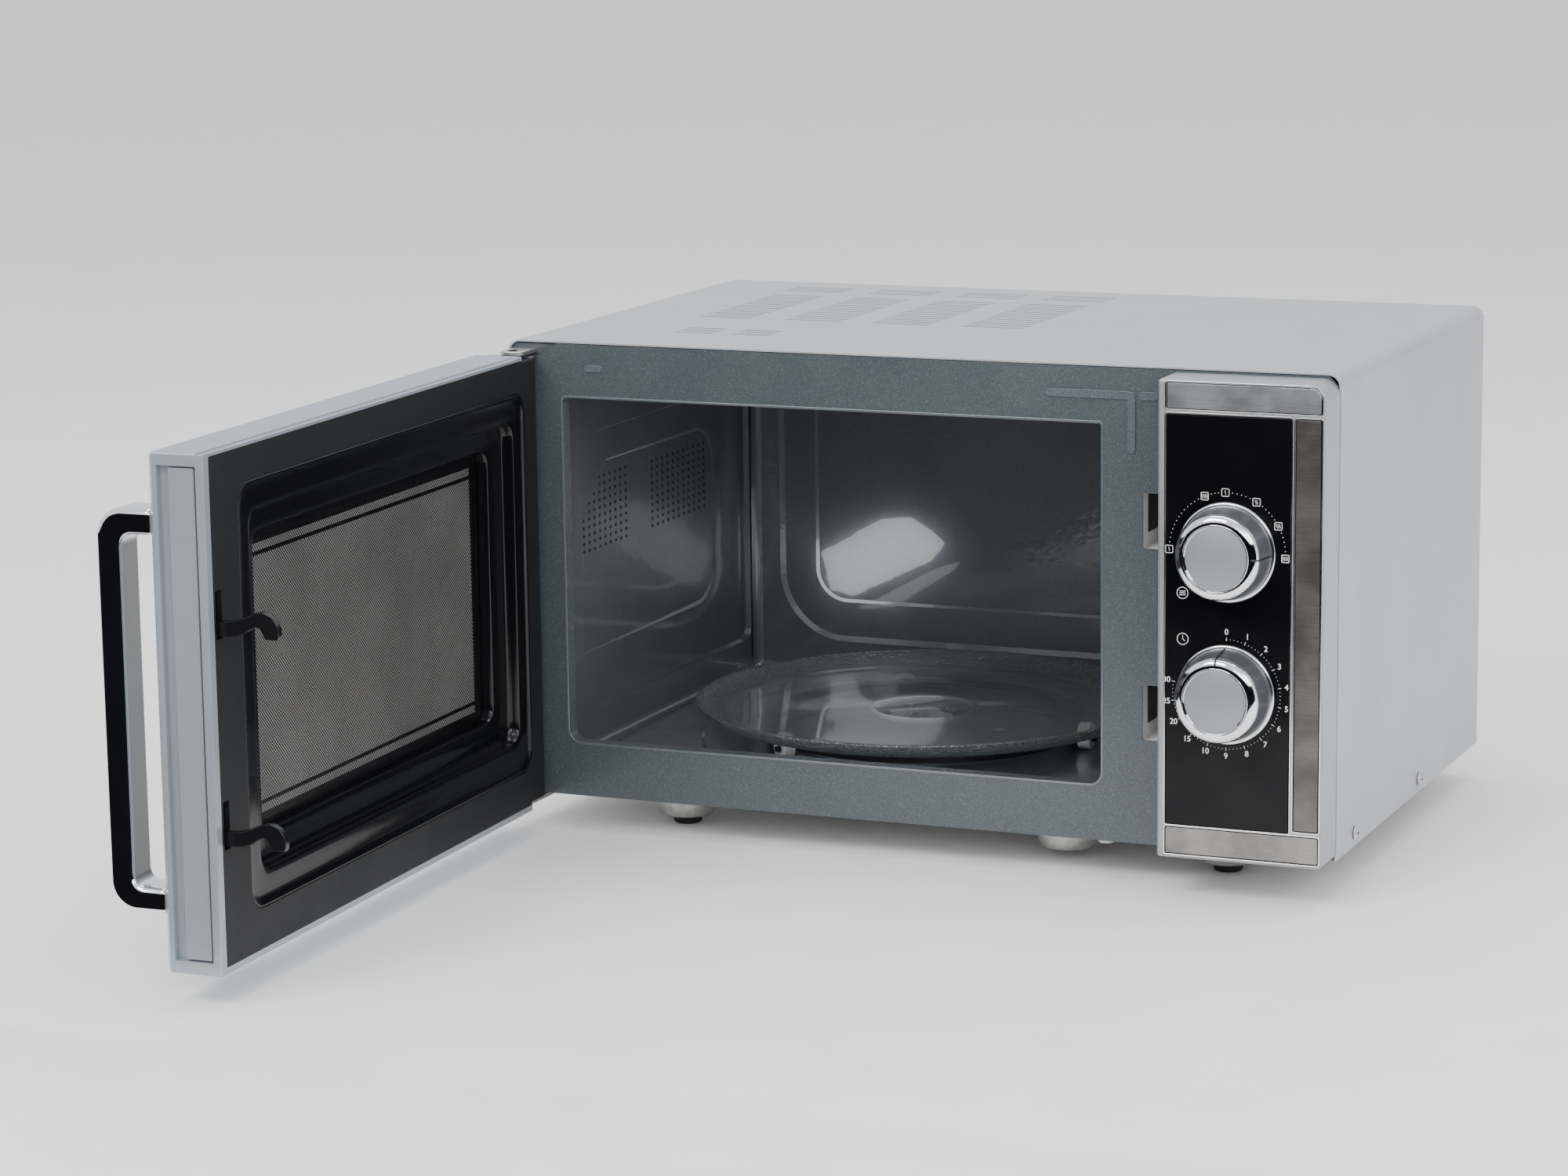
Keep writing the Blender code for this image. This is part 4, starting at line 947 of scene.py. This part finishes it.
# angle and number of waves
POWER_ICONS = ((180.0, 1), (113.0, 4), (92.0, 1), (60.0, 2), (29.0, 3), (-3.0, 4))
POWER_RADIUS = 31.6
TIMER_NUMBERS = (0, 1, 2, 3, 4, 5, 6, 7, 8, 9, 10, 15, 20, 25, 30)
TIMER_STEP = 20.0


def printed(outline, y):
    """Flat print of an outline."""
    return prism(outline, "y", y - PRINT_DEPTH, y)


def dot(centre, y, radius=0.24):
    """Printed dot."""
    return printed(circle(centre, radius, 8), y)


def stroke(start, end, y, width=0.35):
    """Printed straight line."""
    start, end = Vector(start), Vector(end)
    along = (end - start).normalized()
    side = Vector((-along.y, along.x)) * width / 2
    return printed([tuple(point) for point in (start + side, end + side, end - side, start - side)], y)


def power_marks(centre, y):
    """Rows of dots between boxed wave icons."""
    marks = []
    for (start, _), (end, _) in zip(POWER_ICONS, POWER_ICONS[1:]):
        count = max(3, round((start - end - 11.0) / 4.2))
        for i in range(count):
            angle = start - 7.0 - (start - end - 14.0) * i / (count - 1)
            marks.append(dot(polar(centre, POWER_RADIUS, angle), y))
    for degrees, waves in POWER_ICONS:
        x, z = polar(centre, POWER_RADIUS, degrees)
        square = (x - 2.15, z - 2.15, x + 2.15, z + 2.15)
        marks.append(ring_prism(rounded(square, 0.7, 3), rounded(inset(square, 0.34), 0.4, 3), "y",
                                y - PRINT_DEPTH, y))
        for k in range(waves):
            wx = x + (k - (waves - 1) / 2) * 0.85
            points = [(wx + 0.28 * math.sin(math.tau * j / 6), z - 1.1 + 2.2 * j / 6) for j in range(7)]
            marks += [stroke(first, second, y, 0.26) for first, second in zip(points, points[1:])]
    return marks


def timer_marks(centre, y):
    """Numbers with their ticks, and dots between them."""
    marks = []
    for i, number in enumerate(TIMER_NUMBERS):
        angle = 90.0 - TIMER_STEP * i
        marks.append(text_shape(str(number), polar(centre, 33.3, angle), 3.1, y))
        marks.append(stroke(polar(centre, 28.6, angle), polar(centre, 30.4, angle), y, 0.3))
        if i < len(TIMER_NUMBERS) - 1:
            marks += [dot(polar(centre, 29.4, angle - TIMER_STEP * j / 5), y, 0.2) for j in range(1, 5)]
    return marks


def symbol_marks(low, clock, y):
    """Two ringed symbols: three bars, and a clock's hands."""
    marks = [ring_prism(circle(centre, 3.2, 40), circle(centre, 2.85, 40), "y", y - PRINT_DEPTH, y)
             for centre in (low, clock)]
    for k in (-1, 0, 1):
        marks.append(stroke((low[0] - 1.7, low[1] + k), (low[0] + 1.7, low[1] + k), y, 0.36))
    marks.append(stroke((clock[0], clock[1] - 0.1), (clock[0], clock[1] + 2.0), y, 0.32))
    marks.append(stroke((clock[0] - 0.1, clock[1]), (clock[0] + 1.2, clock[1] - 1.0), y, 0.32))
    return marks


def dial_marks(y):
    """White print on the fascia."""
    power, timer = (box_middle(f"{name}_skirt")[::2] for name, _ in KNOBS)
    symbols = symbol_marks((power[0] - 24.2, power[1] - 23.0), (timer[0] - 24.0, timer[1] + 28.2), y)
    marks = (*power_marks(power, y), *timer_marks(timer, y), *symbols)
    piece("dial_marks", merged(*marks), "cabinet", "print")


# each knob and where its pointer stands at rest
KNOBS = (("power_knob", 0.0), ("timer_knob", 90.0))
# part, look, node, whether it replaces the node, profile
KNOB_PARTS = (
    ("foot_ring", "bright", "ring", False,
     ((20.0, 29.6), (26.4, 29.6), (26.7, 29.9), (26.7, 30.8), (26.2, 31.4), (25.4, 31.6), (20.0, 31.6))),
    ("taper", "knob_side", "skirt", True,
     ((3.5, 30.0), (24.6, 31.5), (25.0, 31.9), (24.9, 32.6), (24.3, 36.0), (23.4, 41.0), (22.7, 45.6),
      (22.2, 46.0), (3.5, 46.0))),
    ("chrome", "chrome", "ring", True,
     ((17.9, 46.0), (22.5, 46.0), (22.75, 46.5), (22.6, 47.1), (21.9, 48.3), (20.6, 49.2), (19.2, 49.7),
      (18.2, 49.75), (17.9, 49.3))),
    ("face", "knob_cap", "cap", True,
     ((0.0, 12.0), (3.0, 12.0), (3.0, 46.3), (16.6, 46.3), (16.6, 49.7), (16.2, 49.9), (0.0, 49.9))),
    ("inner_ring", "chrome", "cap", False,
     ((16.7, 46.3), (17.8, 46.3), (17.8, 49.8), (17.5, 50.15), (17.1, 50.15), (16.7, 49.8))),
)
KNOB_POINTER = ((18.9, 46.2), (22.9, 46.2), (25.1, 31.8), (25.3, 31.9), (23.1, 46.6), (22.9, 47.3),
                (21.2, 49.4), (19.9, 50.0), (18.9, 50.0))


def knobs():
    """Turned dials: bright foot, satin taper, chrome ring, satin cap, and a pointer groove."""
    for name, pointer in KNOBS:
        x, _, z = box_middle(f"{name}_skirt")
        centre = (x, 0.0, z)
        for part, look, node, replaces, profile in KNOB_PARTS:
            nodes = [f"{name}_{node}"] if replaces else []
            piece(f"{name}_{part}", turned(profile, centre, (0, -1, 0), 128), name, look, nodes)
        shape = prism([(r, -h) for r, h in KNOB_POINTER], "z", -0.45, 0.45)
        turn = Matrix.Translation(centre) @ Matrix.Rotation(math.radians(-pointer), 4, "Y")
        bmesh.ops.transform(shape, matrix=turn, verts=shape.verts)
        piece(f"{name}_pointer", shape, name, "black", bevel=0.1)


# ---- door ---------------------------------------------------------------------------------
DOOR_RECT = (1.5, 16.5, 388.5, 275.5)
DOOR_FRONT = -31.5
DOOR_BACK = -1.0
RIM = (21.5, 40.5, 355.5, 256.0)
WINDOW = (33.0, 58.0, 338.4, 240.0)
LEDGE = (50.0, 73.0, 321.0, 226.0)
# the inner face from margin to screen: outline, how far inside it, corner radius, y
CHOKE_STEPS = (
    (RIM, 0.0, 13.0, -1.6), (RIM, 0.5, 12.5, -1.05), (RIM, 1.6, 11.4, -1.05), (RIM, 2.6, 10.6, -2.3),
    (RIM, 4.0, 10.0, -3.2), (WINDOW, -2.2, 10.5, -3.4), (WINDOW, -0.6, 10.0, -3.9),
    (WINDOW, 0.0, 9.6, -5.4), (WINDOW, 0.6, 9.2, -9.6), (WINDOW, 2.0, 9.0, -10.8),
    (LEDGE, -2.4, 9.0, -11.4), (LEDGE, -0.8, 8.6, -12.0), (LEDGE, 0.0, 8.0, -13.4),
    (LEDGE, 0.5, 7.6, -18.2), (LEDGE, 0.5, 7.6, -18.4),
)
SCREEN = (60.0, 80.5, 311.0, 218.0)
SCREEN_Y = -18.6
HOLE_PITCH = 2.1
HOLE_RADIUS = 0.5
HOOK_BASES = (79.6, 184.2)


def door_frame():
    """Painted moulding: a tube round the pane, cut back for the black inner face and the hinges."""
    x0, z0, x1, z1 = DOOR_RECT
    body = rounded(DOOR_RECT, 1.2, 6)
    nose = rounded(inset(DOOR_RECT, 2.2), 1.0, 6)
    back = rounded(inset(DOOR_RECT, 0.5), 1.0, 6)
    inner = rounded((4.5, 20.0, 383.0, 273.3), 0.8, 6)
    rebate = rounded((12.0, 26.0, 358.0, 266.0), 6.0, 6)
    tube = bands("y", ((rebate, DOOR_FRONT), (nose, DOOR_FRONT), (body, DOOR_FRONT + 2.2),
                       (body, DOOR_BACK - 0.5), (back, DOOR_BACK), (inner, DOOR_BACK),
                       (inner, DOOR_FRONT + 4.0), (rebate, DOOR_FRONT + 4.0)), closed=True)
    made = piece("door_frame_moulding", tube, "door", "frame", ["door_frame"], DOOR, bevel=0.45)
    hinge_side = [(-4.0, -4.3), (24.0, -4.3), (24.0, 3.0), (-4.0, 3.0)]
    carve(made, prism(hinge_side, "z", 20.0, 273.3), DOOR)
    corner = [(-4.0, -6.4), (x0, -4.3), (5.6, -1.7), (9.5, -0.6), (9.5, 4.0), (-4.0, 4.0)]
    carve(made, prism(corner, "z", z0 - 4.0, z1 + 4.0), DOOR)
    for low, high in (((-3.0, DOOR_FRONT - 3.0, 272.8), (24.0, 5.0, z1 + 4.0)),
                      ((-3.0, DOOR_FRONT - 3.0, z0 - 4.0), (24.0, 5.0, 21.4)),
                      ((x1 - 3.2, -26.6, 23.0), (x1 + 3.0, -5.4, 269.0)),
                      ((30.0, -5.0, z1 - 0.7), (x1 + 3.0, 3.0, z1 + 3.0))):
        carve(made, boxes((low, high)), DOOR)
    strip = prism(rounded((-20.8, 24.0, -6.8, 268.0), 0.6, 3), "x", x1 - 3.5, x1 - 1.0)
    piece("door_edge_strip", strip, "door", "frame", matrix=DOOR, bevel=0.35)
    pins = boxes(((5.0, -24.0, 21.6), (24.0, -5.0, 36.0)), ((5.0, -24.0, 258.0), (24.0, -5.0, 272.4)))
    piece("door_hinge_blocks", pins, "door", "black", matrix=DOOR, bevel=0.6)
    pane = prism(rounded((12.4, 26.4, 357.6, 265.6), 5.6, 8), "y", DOOR_FRONT + 0.1, DOOR_FRONT + 3.1)
    piece("door_outer_pane", pane, "door", "pane", ["door_glass"], DOOR, bevel=0.5)


def choke_cover():
    """Black inner face: grained margin, bead, gloss bands stepping down to the screen."""
    notch = [(2.2, 21.8), (24.3, 21.8), (24.3, 20.3), (382.7, 20.3), (382.7, 273.0), (24.3, 273.0),
             (24.3, 272.4), (2.2, 272.4)]
    slots = [[(375.0, base - 1.0), (381.0, base - 1.0), (381.0, base + 23.0), (375.0, base + 23.0)]
             for base in HOOK_BASES]
    margin = plate(notch, [rounded(RIM, 13.0, 10), *slots], "y", -4.0, DOOR_BACK)
    made = piece("choke_margin", margin, "door", "margin", ["choke_cover"], DOOR, bevel=0.5)
    corner = [(-2.0, -1.0), (-2.0, 3.0), (9.5, 3.0), (9.5, -1.0), (5.6, -1.7), (3.2, -2.8), (1.6, -4.2)]
    carve(made, prism(corner, "z", 10.0, 285.0), DOOR)
    rings = [(rounded(inset(rect, amount), radius, 10), y) for rect, amount, radius, y in CHOKE_STEPS]
    dish = bands("y", rings, capped=False)
    gloss = piece("choke_dish", dish, "door", "gloss", matrix=DOOR, sharp=75.0)
    smooth = gloss.modifiers.new("round_steps", "SUBSURF")
    smooth.levels = 1
    smooth.render_levels = 1
    thicken(gloss, -1.0)


def hole_centres():
    """Staggered rows of holes; the second row from each end is left blank."""
    x0, z0, x1, z1 = SCREEN
    rows = int((z1 - z0) / (HOLE_PITCH / 2))
    centres = []
    for row in range(rows + 1):
        if row in (4, 5, rows - 5, rows - 4):
            continue
        shift = HOLE_PITCH / 2 if row % 2 else 0.0
        for column in range(int((x1 - x0 - shift) / HOLE_PITCH) + 1):
            centres.append((x0 + shift + column * HOLE_PITCH, z0 + row * HOLE_PITCH / 2))
    return np.array(centres)


def door_screen():
    """Dark screen sheet, its fine holes as light six-sided dots that paint the light seen through them, and
    the film over them.
    """
    x0, z0, x1, z1 = inset(LEDGE, -3.0)
    sheet = boxes(((x0, SCREEN_Y - 0.5, z0), (x1, SCREEN_Y, z1)))
    piece("screen_sheet", sheet, "door", "screen", ["door_screen"], DOOR)
    # the holes are not cut: light dots on the sheet are painted light coming through them
    corner = np.arange(6) * math.tau / 6
    ring = HOLE_RADIUS * np.stack([np.cos(corner), np.sin(corner)], axis=1)
    flat = (hole_centres()[:, None, :] + ring[None, :, :]).reshape(-1, 2)
    points = np.stack([flat[:, 0], np.full(len(flat), SCREEN_Y + 0.03), flat[:, 1]], axis=1)
    faces = np.arange(len(points)).reshape(-1, 6)[:, ::-1]
    mesh = bpy.data.meshes.new("screen_hole_light")
    mesh.from_pydata(points.tolist(), [], faces.tolist())
    mesh.transform(DOOR)
    mesh.materials.append(LOOKS["dots"])
    holes = linked("screen_hole_light", mesh)
    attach(holes, "door")
    film = prism(rounded((54.0, 76.0, 317.0, 223.0), 1.5, 4), "y", SCREEN_Y + 0.15, SCREEN_Y + 0.35)
    piece("screen_film_sheet", film, "door", "film", ["door_film"], DOOR)


HANDLE_X = (365.0, 386.0)
HANDLE_Z = (44.5, 246.5)
HANDLE_OUT = -63.5
HANDLE_BAR = 13.0
HANDLE_BEND = 15.0
HANDLE_BEND_INSIDE = 6.0


def handle():
    """Chrome bar bent to a C, with well rounded edges."""
    z0, z1 = HANDLE_Z
    door_y = DOOR_FRONT - 0.3
    inner_y = HANDLE_OUT + HANDLE_BAR
    outline = [(door_y, z0)]
    for z, start in ((z0 + HANDLE_BEND, 270.0), (z1 - HANDLE_BEND, 180.0)):
        outline += arc((HANDLE_OUT + HANDLE_BEND, z), HANDLE_BEND, start, start - 90.0, 12)
    outline += [(door_y, z1), (door_y, z1 - HANDLE_BAR)]
    bend = HANDLE_BEND_INSIDE
    for z, start in ((z1 - HANDLE_BAR - bend, 90.0), (z0 + HANDLE_BAR + bend, 180.0)):
        outline += arc((inner_y + bend, z), bend, start, start + 90.0, 8)
    outline.append((door_y, z0 + HANDLE_BAR))
    piece("handle_bar", prism(outline, "x", *HANDLE_X), "door", "chrome", ["door_handle"], DOOR,
          bevel=3.2, segments=6, sharp=50.0)


HOOK_X = (376.0, 380.0)
HOOK_OUTLINE = ((-13.0, 0.0), (8.0, 1.2), (13.0, 2.6), (17.0, 5.2), (20.0, 6.5), (22.0, 5.4), (24.0, 1.5),
                (24.6, 0.5), (31.0, 0.5), (31.9, 2.0), (32.0, 5.5), (31.0, 8.6), (28.6, 11.8), (24.0, 14.0),
                (19.0, 13.2), (11.0, 9.7), (4.0, 8.4), (-13.0, 8.0))
COIL_PLACE = (377.2, -16.2, 213.0)
COIL_LENGTH = 36.4
COIL_TURNS = 9
COIL_RADIUS = 2.95
WIRE_RADIUS = 0.55


def latch():
    """Black hook bar with rounded hooks."""
    parts = [boxes(((373.0, -20.0, 72.0), (381.5, -12.5, 212.0)))]
    for base_z in HOOK_BASES:
        parts.append(prism([(y, base_z + z) for y, z in HOOK_OUTLINE], "x", *HOOK_X))
    piece("hook_bar", merged(*parts), "latch", "hook", ["door_latch"], DOOR, bevel=0.55)


def latch_coil():
    """Coil spring above the hook bar."""
    shape = bmesh.new()
    loops = []
    count = COIL_TURNS * 20
    up = Vector(UP)
    for i in range(count + 1):
        angle = math.tau * i * COIL_TURNS / count
        outward = Vector((math.cos(angle), math.sin(angle), 0.0))
        x, y, z = COIL_PLACE
        centre = Vector((x + COIL_RADIUS * math.cos(angle), y + COIL_RADIUS * math.sin(angle),
                         z + COIL_LENGTH * i / count))
        loops.append([shape.verts.new(centre + WIRE_RADIUS * (outward * math.cos(t) + up * math.sin(t)))
                      for t in (math.tau * k / 8 for k in range(8))])
    for first, second in zip(loops, loops[1:]):
        for k in range(8):
            shape.faces.new((first[k], first[(k + 1) % 8], second[(k + 1) % 8], second[k]))
    shape.faces.new(loops[0])
    shape.faces.new(loops[-1])
    piece("latch_coil", shape, "latch", "zinc", ["latch_spring"], DOOR)


# ---- turntable ----------------------------------------------------------------------------
TRAY_RADIUS = 134.8
STIPPLED_FROM = 117.0
LUG_RING = 16.0
DIMPLE_RING = 74.0


def tray_lugs(centre, bottom):
    """Three lugs over the coupler, and three dimples further out."""
    b = bottom
    lug = [(0.0, b - 5.8), (2.6, b - 5.8), (3.4, b - 5.0), (3.6, b + 0.2), (0.0, b + 0.2)]
    dimple = [(0.0, b - 0.9), (3.0, b - 0.7), (5.2, b + 0.05), (0.0, b + 0.05)]
    shapes = []
    for i in range(3):
        shapes.append(turned(lug, (*polar(centre, LUG_RING, 30 + 120 * i), 0.0), UP, 24))
        shapes.append(turned(dimple, (*polar(centre, DIMPLE_RING, 85 + 120 * i), 0.0), UP, 32))
    return shapes


def tray():
    """Pressed glass tray with a stippled rim and a centre ring."""
    box = node_box("glass_tray")
    b = box[2] + 6.0
    rim = box[5]
    r = TRAY_RADIUS
    centre = box_middle("glass_tray")[:2]
    profile = [(0.0, b + 0.1), (24.0, b + 0.1), (26.0, b - 0.3), (34.0, b - 0.3), (36.0, b), (112.0, b),
               (118.0, b + 0.5), (125.0, b + 2.6), (131.0, b + 6.2), (r - 1.0, rim - 2.6), (r, rim - 1.4),
               (r - 0.3, rim - 0.4), (r - 1.4, rim), (r - 2.8, rim - 0.5), (130.0, rim - 2.4),
               (124.5, b + 6.4), (119.0, b + 4.8), (113.0, b + 4.4), (38.0, b + 4.4), (34.0, b + 4.7),
               (30.0, b + 4.7), (27.0, b + 4.2), (0.0, b + 4.2)]
    shape = turned(profile, (*centre, 0.0), UP, 160)
    for face in shape.faces:
        if (face.calc_center_median().xy - Vector(centre)).length > STIPPLED_FROM:
            face.material_index = 1
    piece("tray_glass_disc", merged(shape, *tray_lugs(centre, b)), "tray", ["glass", "rim_glass"],
          ["glass_tray"], sharp=60.0)


WHEEL_PROFILE = ((2.3, -3.9), (5.2, -3.9), (5.8, -3.6), (6.0, -3.0), (6.0, 3.0), (5.8, 3.6), (5.2, 3.9),
                 (2.3, 3.9))


def wheels():
    """Roller wheels with rounded treads."""
    for i in (1, 2, 3):
        joint = JOINTS[f"wheel_{i}_spin"]
        centre = CABINET.inverted() @ Vector(joint["pos_m"])
        piece(f"wheel_{i}", turned(WHEEL_PROFILE, centre, joint["axis"], 48), f"wheel_{i}", "white",
              [f"roller_wheel_{i}"])


BACK_SCREWS = ((16.0, 34.0), (16.0, 150.0), (16.0, 268.0), (180.0, 268.0), (352.0, 268.0), (467.0, 268.0),
               (467.0, 190.0), (467.0, 34.0), (240.0, 34.0))
BACK_SCREW_PROFILE = ((0.0, 0.0), (4.0, 0.0), (4.0, 0.7), (3.1, 1.7), (1.2, 2.1), (0.0, 2.1))


def back_screws():
    """Heads that hold the back panel to the cover and the cavity."""
    y = node_box("outer_cover")[4] - 0.2
    heads = [turned(BACK_SCREW_PROFILE, (x, y, z), (0, 1, 0), 32) for x, z in BACK_SCREWS]
    piece("back_panel_screws", merged(*heads), "cabinet", "zinc")


# ---- CAD nodes that stay --------------------------------------------------------------------
KEPT = {
    "zinc": ("back_panel", "turntable_motor", "handle_screw_lower", "handle_screw_upper", "magnetron"),
    "white": ("fan_blade", "turntable_coupler", "cavity_lamp"),
    "housing": ("timer_unit", "power_selector"),
    "black": ("roller_ring", "door_switch_lower", "door_switch_upper", "fan_shroud", "cord_gland"),
    "iron": ("transformer", "fan_motor"),
    "aluminium": ("waveguide", "capacitor"),
    "mica": ("mica_cover",),
    "cavity": ("door_inner_panel",),
}


def paint_kept_nodes():
    """Finishes and soft edges for the nodes shown as they are in the CAD."""
    for look, nodes in KEPT.items():
        for node in nodes:
            kept = frame["nodes"][node]
            kept.data.materials.clear()
            kept.data.materials.append(LOOKS[look])
            soften(kept, 0.4 * MM, 2, math.radians(35.0))


LOOKS = make_looks()
camera()
studio()
for build in (outer_cover, front_plate, cavity, base, screws, latch_housings, hinge_brackets,
              control_panel, knobs, door_frame, choke_cover, door_screen, handle, latch, latch_coil, tray,
              wheels, back_screws, paint_kept_nodes):
    build()
